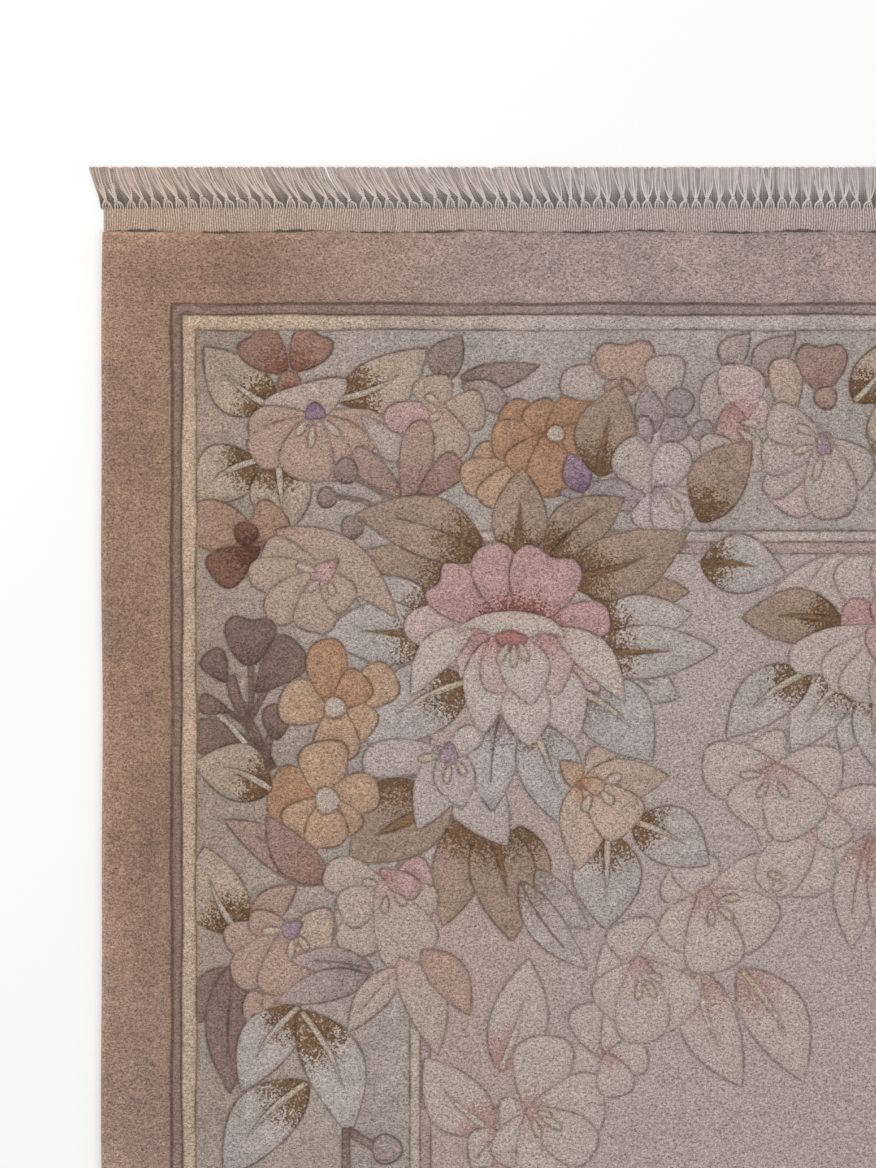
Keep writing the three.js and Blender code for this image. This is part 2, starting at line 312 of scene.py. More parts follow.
# %% flowers of the field
leaves([
    ((400, 842), (429, 729), 58, 6, "tone leaf", "pale rib"),
    ((394, 903), (325, 829), 60, -8, "tone leaf", "pale rib"),
    ((596, 738), (642, 858), 58, 8, "tone leaf", "pale rib"),
    ((640, 738), (704, 852), 62, -8, "tone leaf", "pale rib"),
    ((404, 902), (372, 940), 40, 4, "tone leaf", "line"),
    ((402, 905), (452, 1000), 50, 5, "tone leaf", "pale rib"),
    ((668, 408), (726, 326), 64, 10, "tone", None), ((744, 402), (738, 322), 70, 0, "tone", None),
])
flower((434, 884), "tone", [((522, 808), 62), ((398, 888), 46), ((448, 806), 76), ((400, 932), 50),
                            ((506, 872), 80), ((452, 950), 78), ((492, 924), 66)])
stamens((430, 880), [(452, 888), (462, 900), (440, 908)])
flower((508, 828), "tone", [((482, 776), 52), ((530, 780), 52), ((548, 826), 48), ((520, 866), 50)])
flower((540, 736), "tone", [((498, 728), 62), ((528, 690), 66), ((584, 716), 66), ((502, 782), 60),
                            ((590, 790), 74), ((544, 812), 72)])
stamens((542, 742), [(562, 750), (556, 768), (538, 770)])
flower((606, 668), "tone", [((566, 648), 58), ((592, 628), 60), ((684, 640), 62), ((572, 716), 66),
                            ((672, 706), 80), ((618, 744), 74)])
stamens((610, 670), [(640, 668), (634, 690), (612, 696)])
flower((712, 592), "tone", [((660, 610), 56), ((748, 600), 50), ((764, 662), 64), ((704, 668), 76),
                            ((668, 660), 66)])
stamens((694, 652), [(668, 644), (672, 660)])
flower((722, 580), "tone", [((790, 576), 60), ((742, 616), 44)])
flower((676, 542), "tone", [((656, 508), 66), ((604, 540), 76), ((742, 546), 76), ((640, 592), 62),
                            ((706, 604), 84)])
stamens((674, 544), [(640, 546), (658, 568), (688, 568)])
leaves([
    ((770, 604), (752, 720), 44, 6, "tone leaf", "line"),
    ((778, 604), (796, 748), 46, -6, "tone leaf", "line"),
])
print(len(patches), "patches")

# %% pale flowers on the rug's long axis, and their leaves
leaves([
    ((744, 392), (642, 388), 56, 4, "taupe leaf", "brown rib"),
    ((600, 332), (686, 345), 60, -4, "grey leaf", "brown rib"),
    ((760, 452), (742, 524), 42, -6, "grey leaf", "pale rib"),
    ((752, 442), (692, 522), 54, 6, "grey leaf", "pale rib"),
    ((712, 440), (626, 508), 54, 8, "grey leaf", "pale rib"),
    ((780, 450), (776, 540), 44, 4, "grey leaf", "pale rib"),
])
flower((800, 402), "blush", [((748, 330), 66, "tone"), ((800, 322), 70, "blush"), ((742, 386), 56, "rose"),
                             ((692, 430), 56, "tone"), ((724, 452), 56, "tone"), ((752, 470), 60, "tone"),
                             ((786, 480), 56, "cream"), ((768, 420), 44, "pink")])
petal((800, 414), (800, 358), 62, "rose", "notched")
stamens((800, 404), [(778, 414), (790, 424)])
print(len(patches), "patches")

# %% [markdown]
# The border's garland. Each short table is one group as it hangs together on the rug: the leaves behind a
# blossom first, then its petals from the back one to the front one, and its stamens or pale disc last.

# %% border garland, from the corner along the end
leaves([
    ((178, 180), (104, 117), 58, -8, "cream leaf", "pale rib"),
    ((236, 170), (327, 119), 56, 10, "cream leaf", "pale rib"),
    ((158, 230), (94, 272), 60, 8, "cream leaf", "pale rib"),
    ((178, 228), (184, 306), 62, 0, "cream leaf", "pale rib"),
    ((341, 153), (362, 106), 36, -6, "mauve leaf", None),
    ((360, 148), (440, 135), 27, 4, "mauve leaf", None),
    ((362, 154), (414, 186), 28, -4, "pale mauve", None),
    ((626, 142), (650, 104), 30, -5, "pale mauve", None),
    ((660, 158), (696, 105), 36, -8, "pale mauve", None),
])
petal((186, 142), (144, 100), 46, "rust", "notched")
petal((193, 140), (224, 98), 44, "rust", "notched")
disc((189, 152), 11.5, "rust")
flower((212, 190), "shell", [((283, 206), 56), ((203, 153), 108, "violet heart"), ((264, 226), 56),
                             ((148, 196), 46), ((152, 230), 52), ((242, 246), 54), ((204, 250), 72)])
petal((214, 172), (216, 192), 22, "purple", "notched")
stamens((214, 182), [(211, 218), (240, 206), (196, 206)])
print(len(patches), "patches")

# %% a warm cream flower, then dusty pods and little berries by the corner
petal((262, 186), (302, 227), 34, "pearl", "broad")
flower((342, 182), "warm cream", [((286, 190), 42, "pink"), ((328, 146), 50), ((386, 180), 50),
                                  ((352, 229), 56)])
stamens((348, 180), [(326, 165), (330, 190)])
for foot, tip, width, dye, form in [
    ((308, 272), (253, 222), 34, "dusty rose", "broad"),
    ((308, 282), (322, 190), 36, "dusty rose", "round"),
    ((316, 272), (361, 228), 38, "deep dusty", "broad"),
]:
    petal(foot, tip, width, dye, form)
for line in [((258, 250), (280, 262), (310, 284)), ((236, 266), (262, 270), (290, 284), (316, 306))]:
    stem(line, 4, "pale mauve")
for centre, radius in [((246, 241), 12), ((227, 268), 9.5), ((252, 298), 11)]:
    disc(centre, radius, "mauve leaf", 1.1)
print(len(patches), "patches")

# %% orange blossoms, with their pale centre discs
flower((420, 236), "pale orange", [((374, 222), 40), ((360, 252), 46), ((384, 274), 42)])
flower((450, 206), "orange", [((404, 178), 48), ((390, 212), 50), ((434, 172), 44), ((492, 172), 62),
                              ((490, 212), 44), ((412, 242), 44), ((450, 266), 62)])
disc((456, 204), 9, "disc", 0.95)
print(len(patches), "patches")

# %% tulips, seed heads and lilies along the end
leaf((576, 268), (456, 262), 32, "lavender", None)
leaf((484, 263), (469, 223), 29, "purple", None)
flower((528, 158), "shell", [((462, 150), 46, "pearl"), ((500, 118), 42),
                             ((524, 106), 62, "shell", "notched")])
petal((524, 150), (504, 160), 12, "dusty rose")
petal((522, 148), (534, 164), 12, "dusty rose")
leaf((499, 247), (520, 155), 62, "taupe leaf", "brown rib", -3)
flower((566, 176), "warm cream", [((546, 150), 30), ((565, 124), 50, "pearl")])
petal((557, 242), (558, 188), 52, "lilac", "broad")
for foot, tip, width, form in [
    ((552, 206), (547, 155), 30, "pointed"), ((574, 192), (584, 159), 30, "round"),
    ((562, 212), (586, 191), 26, "round"), ((550, 214), (542, 186), 17, "round"),
]:
    petal(foot, tip, width, "lavender", form)
petal((606, 196), (626, 142), 36, "pearl", "round")
disc((603, 201), 11.5, "lavender")
flower((640, 190), "blush", [((668, 176), 50), ((642, 134), 60), ((616, 224), 40, "pink"),
                             ((606, 246), 34, "pearl"), ((652, 242), 46, "cream")])
petal((631, 173), (636, 240), 34, "pink", "pointed")
stamens((630, 192), [(660, 194), (654, 212)])
petal((612, 248), (618, 204), 40, "pearl", "broad")
flower((558, 262), "lilac", [((520, 214), 54, "pearl"), ((580, 216), 50), ((548, 302), 50),
                             ((596, 286), 52), ((574, 304), 44)])
stamens((566, 258), [(592, 262), (580, 282)])
leaf((600, 292), (652, 211), 58, "taupe leaf", None, -8)
petal((690, 194), (684, 129), 44, "peach", "broad")
print(len(patches), "patches")

# %% the big pale flower, its heart and its berry
flower((724, 212), "pearl", [((680, 282), 64, "blush"), ((770, 250), 54), ((668, 263), 42),
                             ((661, 230), 50), ((667, 186), 50), ((735, 287), 70)])
petal((721, 202), (727, 228), 15, "pale violet", "notched")
stamens((727, 212), [(697, 195), (694, 223), (715, 250)])
petal((722, 162), (722, 109), 54, "pale rust", "notched")
disc((726, 168), 11.5, "dusty rose")
leaf((754, 172), (800, 108), 50, "cream leaf", "pale rib", 5)
petal((800, 240), (800, 152), 66, "cream leaf", "pointed")
print(len(patches), "patches")

# %% [markdown]
# The corner cluster: a peony whose rose petals fan out behind a cream dome, with pointed petals below it
# and two lilies beside it, on a wreath of taupe, grey and brown leaves. The deep dye at the leaves' feet
# and in the peony's throat is what gives the flat pile its depth.

# %% leaves behind the peony
leaves([
    ((366, 352), (246, 328), 44, 4, "taupe leaf", None),
    ((388, 326), (256, 284), 62, 10, "taupe leaf", "line"),
    ((444, 330), (524, 268), 54, -6, "taupe leaf", "line"),
    ((418, 334), (422, 238), 56, 0, "taupe leaf", "brown rib"),
    ((486, 362), (590, 362), 46, 0, "taupe leaf", None),
    ((462, 350), (588, 303), 66, 8, "taupe leaf", "brown rib"),
    ((340, 388), (250, 348), 56, -6, "grey leaf", None),
    ((338, 412), (222, 404), 64, 6, "grey leaf", "brown rib"),
    ((492, 396), (592, 384), 52, 0, "grey leaf", None),
    ((490, 438), (580, 468), 54, -4, "grey leaf", "line"),
    ((484, 424), (618, 420), 54, 0, "grey leaf", "brown rib"),
])
print(len(patches), "patches")

# %% leaves under the peony, with one lily petal between them
leaves([
    ((352, 584), (312, 666), 44, 4, "bare leaf", None),
    ((363, 586), (343, 697), 52, -5, "taupe leaf", None),
    ((418, 596), (440, 684), 54, 4, "taupe leaf", None),
    ((388, 588), (413, 712), 66, -4, "taupe leaf", "brown rib"),
    ((436, 640), (490, 700), 34, 6, "bare leaf", None),
    ((420, 652), (487, 740), 36, 6, "bare leaf", "line"),
    ((532, 591), (610, 635), 60, -6, "grey leaf", "pale rib"),
    ((508, 601), (506, 700), 70, 0, "grey leaf", "pale rib"),
])
petal((346, 522), (408, 616), 60, "lilac", "pointed")
leaves([
    ((370, 450), (262, 512), 74, 8, "grey leaf", "pale rib"),
    ((474, 458), (553, 531), 72, -10, "blue grey", "pale rib"),
    ((400, 484), (392, 582), 50, 4, "blue grey", "line"),
    ((430, 490), (466, 598), 64, -4, "blue grey", "pale rib"),
])
print(len(patches), "patches")

# %% the leaf whose brown dye lies along its upper edge
add_patch(blade((352, 572), (249, 630), 84, "pointed", 12), "brown leaf", (296, 552), (312, 642))
petal((340, 574), (276, 606), 11, "brown rib", "pointed")
print(len(patches), "patches")

# %% the two lilies
flower((350, 526), "lilac", [((378, 500), 34, "pale pink"), ((264, 530), 50),
                             ((318, 600), 46, "lilac", "pointed"), ((362, 580), 42, "lilac", "pointed")])
petal((350, 512), (348, 536), 20, "pale violet", "notched")
stamens((352, 524), [(318, 530), (346, 554), (366, 546)])
flower((488, 556), "peach", [((460, 531), 25, "hot peach", "pointed"), ((512, 521), 46),
                             ((479, 640), 50, "peach", "pointed"), ((569, 546), 46, "peach", "pointed"),
                             ((534, 600), 66)])
petal((480, 550), (504, 560), 22, "hot peach", "broad")
stamens((494, 556), [(522, 546), (514, 574), (484, 582)], 10)
print(len(patches), "patches")

# %% the peony's rose petals and its pointed petals below
for foot, tip, width, dye, form in [
    ((396, 398), (304, 396), 46, "blush", "round"), ((406, 394), (326, 344), 56, "rose", "notched"),
    ((430, 394), (512, 388), 46, "rose", "broad"), ((410, 394), (388, 316), 62, "rose", "broad"),
    ((428, 394), (456, 314), 76, "rose", "notched"), ((448, 404), (500, 462), 44, "rose fade", "pointed"),
    ((388, 404), (360, 448), 36, "rose fade", "pointed"),
    ((450, 430), (476, 513), 50, "pale pink", "pointed"),
    ((386, 412), (384, 506), 44, "pale pink", "pointed"),
    ((424, 446), (430, 518), 50, "pale pink", "pointed"), ((394, 404), (398, 462), 44, "blush", "broad"),
    ((444, 404), (458, 466), 46, "blush", "pointed"),
    ((420, 408), (432, 476), 50, "pale pink", "pointed"),
]:
    petal(foot, tip, width, dye, form)
petal((412, 388), (412, 424), 36, "rose throat", "pointed")
stamens((414, 402), [(398, 434), (414, 438), (428, 432)])
print(len(patches), "patches")

# %% the peony's cream wings and dome, with a scalloped lower edge
petal((372, 396), (311, 466), 36, "wing", "pointed", 9)
petal((456, 398), (525, 472), 36, "wing", "pointed", -9)
cap_angle = np.radians(np.linspace(190, 356, 17))
cap_left, cap_right = np.array((357, 404)), np.array((466, 411))
share = np.linspace(0, 1, 22)[1:-1, None]
scallops = 7 * np.abs(np.sin(3 * math.pi * share))
cap = np.vstack([
    np.column_stack([411 + 55 * np.cos(cap_angle), 408 + 27 * np.sin(cap_angle)]),
    cap_right + share * (cap_left - cap_right) - scallops * np.array((0, 1)),
])
add_patch(cap, "wing", (412, 424), (412, 382))
print(len(patches), "patches")

# %% [markdown]
# The garland goes on down the long side: a cream flower, mauve pods on stems, the pair of orange
# blossoms, long dusty leaves, a shell-coloured blossom, and the large brown-footed leaves that hang
# towards the middle.

# %% border garland, down the long side
for foot, tip, width, dye, form in [
    ((166, 316), (90, 286), 66, "tan", "broad"), ((152, 312), (180, 278), 50, "tan", "broad"),
    ((160, 318), (111, 347), 50, "dark rust", "broad"),
]:
    petal(foot, tip, width, dye, form)
disc((146, 304), 12, "dark rust")
petal((176, 300), (298, 388), 44, "warm cream", "pointed", -14)
flower((222, 344), "warm cream", [((162, 318), 44), ((150, 346), 48), ((168, 386), 50), ((212, 404), 52),
                                  ((250, 376), 44)])
petal((238, 330), (214, 352), 28, "pink", "broad")
stamens((226, 344), [(196, 336), (208, 362), (234, 366)])
print(len(patches), "patches")

# %% mauve pods and their stems
for line, width in [
    (((172, 540), (152, 500), (136, 470), (130, 446)), 11), (((148, 500), (152, 462), (150, 430)), 6),
    (((150, 490), (164, 462), (180, 448)), 6), (((142, 492), (124, 478), (116, 474)), 5),
    (((166, 532), (168, 512), (174, 498)), 8), (((168, 538), (140, 520), (118, 506)), 8),
]:
    stem(line, width, "mauve pod")
for stalk, tip, width, form in [
    ((148, 436), (152, 382), 54, "notched"), ((156, 462), (200, 414), 54, "broad"),
    ((126, 452), (108, 422), 34, "broad"), ((162, 524), (92, 502), 50, "broad"),
    ((176, 510), (177, 474), 30, "round"), ((130, 482), (98, 472), 24, "broad"),
]:
    petal(stalk, tip, width, "mauve pod", form)
stem(((118, 484), (130, 496), (146, 514)), 5, "pale rib")
print(len(patches), "patches")

# %% the pair of orange blossoms
flower((236, 478), "orange", [((180, 470), 60, "pale orange"), ((297, 444), 52, "pale orange"),
                              ((222, 411), 54), ((270, 504), 58, "pale orange"), ((266, 446), 44),
                              ((236, 534), 60, "pale orange")])
disc((235, 478), 11, "disc")
flower((227, 570), "pale orange", [((168, 562), 72, "orange"), ((222, 510), 62), ((278, 560), 54),
                                   ((254, 604), 44), ((186, 600), 44), ((226, 618), 56)])
disc((227, 571), 12, "disc", 1.15)
print(len(patches), "patches")

# %% long leaves and the shell blossom
leaves([
    ((172, 560), (94, 533), 58, 6, "cream leaf", "pale rib"),
    ((216, 656), (124, 590), 38, 6, "dusty rose", "line"),
    ((230, 654), (166, 586), 40, -8, "deep dusty", None),
    ((140, 706), (104, 617), 62, -8, "cream leaf", "pale rib"),
    ((134, 738), (96, 794), 38, 4, "dark mauve", None),
    ((134, 732), (130, 864), 46, 4, "dark mauve", "line"), ((238, 664), (292, 706), 52, 4, "pearl", None),
])
flower((284, 660), "cream", [((226, 640), 52), ((334, 648), 60, "pink"), ((252, 724), 60), ((336, 676), 48),
                             ((240, 686), 50), ((318, 734), 78)])
petal((280, 640), (318, 664), 34, "pink", "broad")
stamens((288, 656), [(262, 652), (284, 684), (306, 676)])
for foot, tip, width, dye in [((152, 760), (160, 806), 26, "shell"), ((170, 760), (174, 796), 20, "shell")]:
    petal(foot, tip, width, dye, "pointed")
leaf((152, 698), (197, 655), 32, "dusty rose", None, -3)
petal((190, 728), (274, 750), 24, "shell", "pointed", 3)
flower((190, 702), "shell", [((234, 706), 66, "peach"), ((124, 712), 44), ((150, 690), 36),
                             ((134, 752), 50), ((180, 768), 62)])
petal((202, 692), (184, 706), 24, "pale violet", "broad")
stamens((194, 700), [(162, 702), (190, 728), (208, 720)])
print(len(patches), "patches")

# %% hanging leaves with brown feet
leaves([
    ((274, 740), (189, 730), 30, 3, "pale mauve", "line"),
    ((272, 748), (174, 774), 32, 4, "pale mauve", None), ((302, 738), (248, 803), 32, 4, "cream", "line"),
    ((330, 748), (336, 772), 14, 0, "pale mauve", None), ((300, 728), (338, 826), 42, -8, "cream", None),
    ((322, 720), (370, 786), 38, -6, "shell", None),
    ((200, 776), (141, 862), 54, 8, "grey leaf", "pale rib"),
    ((200, 780), (250, 905), 60, -12, "white leaf", "pale rib"),
    ((208, 852), (124, 948), 62, 10, "grey leaf", "pale rib"),
    ((262, 1040), (196, 1100), 60, 6, "cream leaf", "pale rib"),
    ((238, 1030), (150, 1064), 56, -6, "taupe leaf", "line"),
])
for line in [((248, 900), (262, 910), (276, 918)), ((246, 898), (246, 940), (252, 990))]:
    stem(line, 8, "mauve leaf")
disc((287, 920), 15, "pale mauve")
print(len(patches), "patches")

# %% further along the side, where the garland repeats itself towards the middle
flower((200, 1010), "shell", [((150, 980), 58), ((204, 954), 62), ((258, 1000), 58), ((158, 1046), 58),
                              ((226, 1066), 64)])
petal((206, 1000), (194, 1016), 24, "pale violet", "broad")
stamens((200, 1010), [(174, 1014), (204, 1036)])
flower((218, 1140), "cream", [((156, 1140), 60), ((206, 1084), 64), ((270, 1112), 62), ((186, 1192), 60),
                              ((250, 1190), 62)])
disc((220, 1140), 12, "disc")
petal((140, 1140), (104, 1112), 48, "rust", "notched")
petal((142, 1150), (112, 1184), 46, "tan", "broad")
disc((148, 1146), 11, "dark rust")
print(len(patches), "patches")

# %% [markdown]
# Last in the stack comes the outer frame, as three patches that each follow both edges of the quarter: a
# cream line, a mauve line and the wide plain band.

# %% the outer frame
def wavered(start, end, step=22):
    """Points from start to end that stray up to 1 mm from the straight line, as a hand-carved line does."""
    start, end = np.array(start, float), np.array(end, float)
    length = np.linalg.norm(end - start)
    along = np.arange(step, length - step, step)
    stray = 0.6 * np.sin(along / 43 + start.sum()) + 0.4 * np.sin(along / 17)
    return start + np.outer(along / length, end - start) + np.outer(stray, across_of(start, end))


def outer_frame(from_side, from_end, dye):
    corner = (from_side, from_end)
    add_patch(np.vstack([
        [(-OVER, -OVER), (FAR_SIDE, -OVER), (FAR_SIDE, from_end)], wavered((FAR_SIDE, from_end), corner),
        [corner], wavered(corner, (from_side, FAR_END)), [(from_side, FAR_END), (-OVER, FAR_END)],
    ]), dye, (0, 0), QUARTER)


outer_frame(96, 100, "cream line")
outer_frame(82, 85, "mauve line")
outer_frame(72, 74, "band")
print(len(patches), "patches,", len(creases), "creases")

# %% [markdown]
# The carver's lines are the parts of the outlines that stay visible in the stack. Each outline is cut
# into short steps, and the steps that a later patch covers are dropped. A point is inside a patch if a
# ray from it crosses the outline an odd number of times.

# %% which points a patch covers
def inside(points, outline):
    x, y = points[:, 0, None], points[:, 1, None]
    ax, ay = outline[:, 0], outline[:, 1]
    bx, by = np.roll(ax, -1), np.roll(ay, -1)
    spans = (ay > y) != (by > y)
    rise = np.where(by == ay, 1.0, by - ay)
    crosses = spans & (x < ax + (y - ay) * (bx - ax) / rise)
    return crosses.sum(axis=1) % 2 == 1


def covered(points, first_cover):
    """Which points some later patch covers."""
    hidden = np.zeros(len(points), bool)
    for patch in patches[first_cover:]:
        low, high = patch["outline"].min(axis=0), patch["outline"].max(axis=0)
        near = ~hidden & (points >= low).all(axis=1) & (points <= high).all(axis=1)
        if near.any():
            hidden[near] = inside(points[near], patch["outline"])
    return hidden


print("corner ground covered:", covered(np.array([(200.0, 200.0)]), 1)[0])

# %% visible runs of a line
LINE_STEP = 4.0
FINE_STEPS = 6


def in_steps(line, step):
    """The line with points added, so that none of its steps is longer than this."""
    pieces = []
    for start, end in zip(line[:-1], line[1:]):
        count = max(1, math.ceil(np.linalg.norm(end - start) / step))
        pieces.append(start + np.outer(np.arange(count) / count, end - start))
    return np.vstack(pieces + [line[-1:]])


def edge_point(seen, hidden, first_cover):
    """Where a step goes under a patch, found by halving, and just on the hidden side."""
    for _ in range(FINE_STEPS):
        middle = (seen + hidden) / 2
        if covered(middle[None], first_cover)[0]:
            hidden = middle
        else:
            seen = middle
    return hidden


def visible_runs(line, first_cover):
    hidden = covered(line, first_cover)
    hidden |= (line < 0).any(axis=1) | (line[:, 0] > QUARTER[0]) | (line[:, 1] > QUARTER[1])
    runs, run = [], []
    for i, point in enumerate(line):
        if hidden[i]:
            if run:
                runs.append(run + [edge_point(line[i - 1], point, first_cover)])
            run = []
            continue
        if not run and i and hidden[i - 1]:
            run.append(edge_point(point, line[i - 1], first_cover))
        run.append(point)
    if run:
        runs.append(run)
    return [np.clip(np.array(r), 0, QUARTER) for r in runs if len(r) > 1]


runs_seen = []
for index, patch in enumerate(patches):
    outline = patch["outline"]
    closed = in_steps(np.vstack([outline, outline[:1]]), LINE_STEP)
    runs_seen += visible_runs(closed, index + 1)
for crease in creases:
    runs_seen += visible_runs(in_steps(crease["line"], LINE_STEP), crease["over"])
print(len(runs_seen), "visible runs,", sum(len(run) for run in runs_seen), "points")

# %% fewer points where a line is nearly straight
BOW_LIMIT = 0.24
LONGEST_STEP = 15.0


def kept_points(line):
    """Which points of a line are kept, so that no step leaves the line by more than the bow limit."""
    keep = [0, len(line) - 1]
    spans = [(0, len(line) - 1)]
    while spans:
        first, last = spans.pop()
        if last - first < 2:
            continue
        chord = line[last] - line[first]
        length = np.linalg.norm(chord)
        aside = line[first + 1:last] - line[first]
        if length > 0.01:
            bow = np.abs(aside @ np.array([-chord[1], chord[0]])) / length
        else:
            bow = np.linalg.norm(aside, axis=1)
        worst = first + 1 + int(bow.argmax())
        if bow.max() < BOW_LIMIT and length < LONGEST_STEP:
            continue
        if bow.max() < BOW_LIMIT:
            worst = (first + last) // 2
        keep.append(worst)
        spans += [(first, worst), (worst, last)]
    return sorted(keep)


carved_lines = [run[kept_points(run)] for run in runs_seen]
print(len(carved_lines), "carved lines,", sum(len(line) for line in carved_lines), "points")

# %% [markdown]
# The carved skin is one triangle mesh. Its points lie on the carved lines, on a row of shoulders along
# each side of them, and on a coarse grid between, and a constrained Delaunay triangulation joins them
# without crossing a line. No modelling tool places points by a pattern like this, so this piece is made
# from numbers.

# %% points of the skin
SHOULDER = 2.3
SHOULDER_SPACING = 2.4
SAMPLE_STEP = 0.8
GRID_STEP, GRID_STRAY = 11.0, 2.6
GRID_CLEAR, PLAIN_CLEAR, PLAIN_SHARE = 5.0, 17.0, 0.35
SEAM_CLEAR = 0.4
rng = np.random.default_rng(7)

samples = np.vstack([in_steps(line, SAMPLE_STEP) for line in carved_lines])
groove_tree = kdtree.KDTree(len(samples))
for i, (x, y) in enumerate(samples):
    groove_tree.insert((x, y, 0), i)
groove_tree.balance()


def from_groove(points):
    """Each point's distance to the nearest carved line."""
    return np.array([groove_tree.find((x, y, 0))[2] for x, y in points])


def in_quarter(points):
    inside_seams = (points > SEAM_CLEAR) & (points < np.array(QUARTER) - SEAM_CLEAR)
    return points[inside_seams.all(axis=1)]


def thinned(points, spacing):
    """The points without those that share a small cell with another."""
    keys = np.round(points / spacing).astype(int)
    _, first = np.unique(keys, axis=0, return_index=True)
    return points[np.sort(first)]


shoulder_points = []
for line in carved_lines:
    step = np.gradient(line, axis=0)
    length = np.maximum(np.linalg.norm(step, axis=1), 1e-6)[:, None]
    normal = np.column_stack([-step[:, 1], step[:, 0]]) / length
    for sign in (-1, 1):
        rows = in_quarter(line + sign * SHOULDER * normal)
        if len(rows):
            shoulder_points.append(rows[from_groove(rows) > 0.8 * SHOULDER])
shoulder_points = thinned(np.vstack(shoulder_points), SHOULDER_SPACING)
across = np.arange(GRID_STEP / 2, QUARTER[0], GRID_STEP)
down = np.arange(GRID_STEP / 2, QUARTER[1], GRID_STEP)
grid = np.array([(x, y) for x in across for y in down])
grid = in_quarter(grid + rng.uniform(-GRID_STRAY, GRID_STRAY, grid.shape))
clear = from_groove(grid)
coarse = rng.random(len(grid)) < PLAIN_SHARE
grid = grid[(clear > GRID_CLEAR) & ((clear < PLAIN_CLEAR) | coarse)]
print(len(shoulder_points), "shoulder points,", len(grid), "grid points")

# %% the edge rows, where the pile rounds down to its foundation
EDGE_ROWS = (0.0, 0.8, 2.4, 5.0, 8.5)
EDGE_STEP = 12.0
AXIS_START = 16.0


def edge_rows():
    rows = []
    for inset in EDGE_ROWS:
        side = [(inset, y) for y in np.arange(inset + EDGE_STEP, QUARTER[1], EDGE_STEP)]
        end = [(x, inset) for x in np.arange(inset + EDGE_STEP, QUARTER[0], EDGE_STEP)]
        rows += side + end + [(inset, inset), (inset, QUARTER[1]), (QUARTER[0], inset)]
    return np.array(rows)


axis_rows = np.vstack([
    [(QUARTER[0], y) for y in np.arange(AXIS_START, QUARTER[1], EDGE_STEP)],
    [(x, QUARTER[1]) for x in np.arange(AXIS_START, QUARTER[0], EDGE_STEP)], [QUARTER],
])
loose = np.vstack([edge_rows(), axis_rows, grid, shoulder_points])
print(len(loose), "points off the carved lines")

# %% triangulation
line_points = np.vstack(carved_lines)
line_edges = []
count = 0
for line in carved_lines:
    line_edges += [(count + i, count + i + 1) for i in range(len(line) - 1)]
    count += len(line)
flat_points = [Vector(p) for p in np.vstack([line_points, loose])]
met, _, faces, _, _, _ = geometry.delaunay_2d_cdt(flat_points, line_edges, [], 0, 0.05)
plan = np.array([(p.x, p.y) for p in met])
triangles = np.array([f for f in faces if len(f) == 3])
print(len(plan), "points and", len(triangles), "triangles in one quarter")

# %% [markdown]
# Each triangle now takes the dyes of the topmost patch that it lies in. The shading is a number from 0 to
# 1 that says how much of the deep dye is tied into the pile there. It falls off along the petal from its
# foot, and later along its middle than along its edges, as the weaver's stippling does.

# %% how light the plain band is across its width
PALE_EDGE_WIDTH, DARKEST_AT, DARK_WIDTH = 5.0, 47, 12


def band_profile(at):
    """The plain band is paler along its outer edge and darkest two thirds of the way in."""
    from_edge = at.min(axis=1)
    pale_edge = 0.42 * np.exp(-(from_edge / PALE_EDGE_WIDTH) ** 2)
    dark = 0.12 * np.exp(-((from_edge - DARKEST_AT) / DARK_WIDTH) ** 2)
    slow = 0.15 * np.sin(at[:, 0] / 41 + 2.0 * np.sin(at[:, 1] / 97)) * np.cos(at[:, 1] / 58)
    return 1.05 + pale_edge - dark + slow


print("band", band_profile(np.array([(1, 600), (20, 600), (47, 600)])).round(2), "from its edge inwards")

# %% the topmost patch of each triangle
centres = plan[triangles].mean(axis=1)
owner = np.zeros(len(triangles), int)
for index, patch in enumerate(patches):
    low, high = patch["outline"].min(axis=0), patch["outline"].max(axis=0)
    near = np.flatnonzero((centres >= low).all(axis=1) & (centres <= high).all(axis=1))
    owner[near[inside(centres[near], patch["outline"])]] = index

print("patches seen", len(np.unique(owner)), "of", len(patches))

# %% dyes and shading by triangle corner
corners = plan[triangles].reshape(-1, 2)
corner_owner = np.repeat(owner, 3)
lengthwise = PALE_MOST * np.clip((corners[:, 1] - PALE_FROM) / (PALE_TO - PALE_FROM), 0, 1)
tip_colour = np.zeros((len(corners), 3))
foot_colour = np.zeros((len(corners), 3))
shade = np.zeros(len(corners))
groove_shade_and_mottle = np.ones(len(corners))
for index, patch in enumerate(patches):
    at = np.flatnonzero(corner_owner == index)
    if not len(at):
        continue
    if patch["dye"] in FAINTLY_LINED:
        groove_shade_and_mottle[at] = FAINT
    if patch["dye"] in BOLDLY_LINED:
        groove_shade_and_mottle[at] = BOLD
    if patch["dye"] in PLAIN_DYES:
        near_hex, far_hex, start, stop = PLAIN_DYES[patch["dye"]]
        near_dye, far_dye = np.array(to_linear(near_hex)), np.array(to_linear(far_hex))
        across = np.clip((corners[at, 0] - start) / (stop - start), 0, 1)
        blend = np.maximum(across, lengthwise[at])[:, None]
        if patch["dye"] == "band":
            near_dye = near_dye * band_profile(corners[at])[:, None]
        tip_colour[at] = near_dye * (1 - blend) + far_dye * blend
        foot_colour[at] = tip_colour[at]
        continue
    tip_hex, foot_hex, climb, fade = DYES[patch["dye"]]
    tip_colour[at], foot_colour[at] = to_linear(tip_hex), to_linear(foot_hex)
    axis = patch["tip"] - patch["foot"]
    length = np.linalg.norm(axis)
    from_foot = corners[at] - patch["foot"]
    along = from_foot @ axis / length ** 2
    aside = np.abs(from_foot @ across_of(patch["foot"], patch["tip"])) / length
    shade[at] = np.clip((climb + 0.12 - along - 0.5 * aside) / fade, 0, 1)
print("shaded corners", int((shade > 0).sum()))

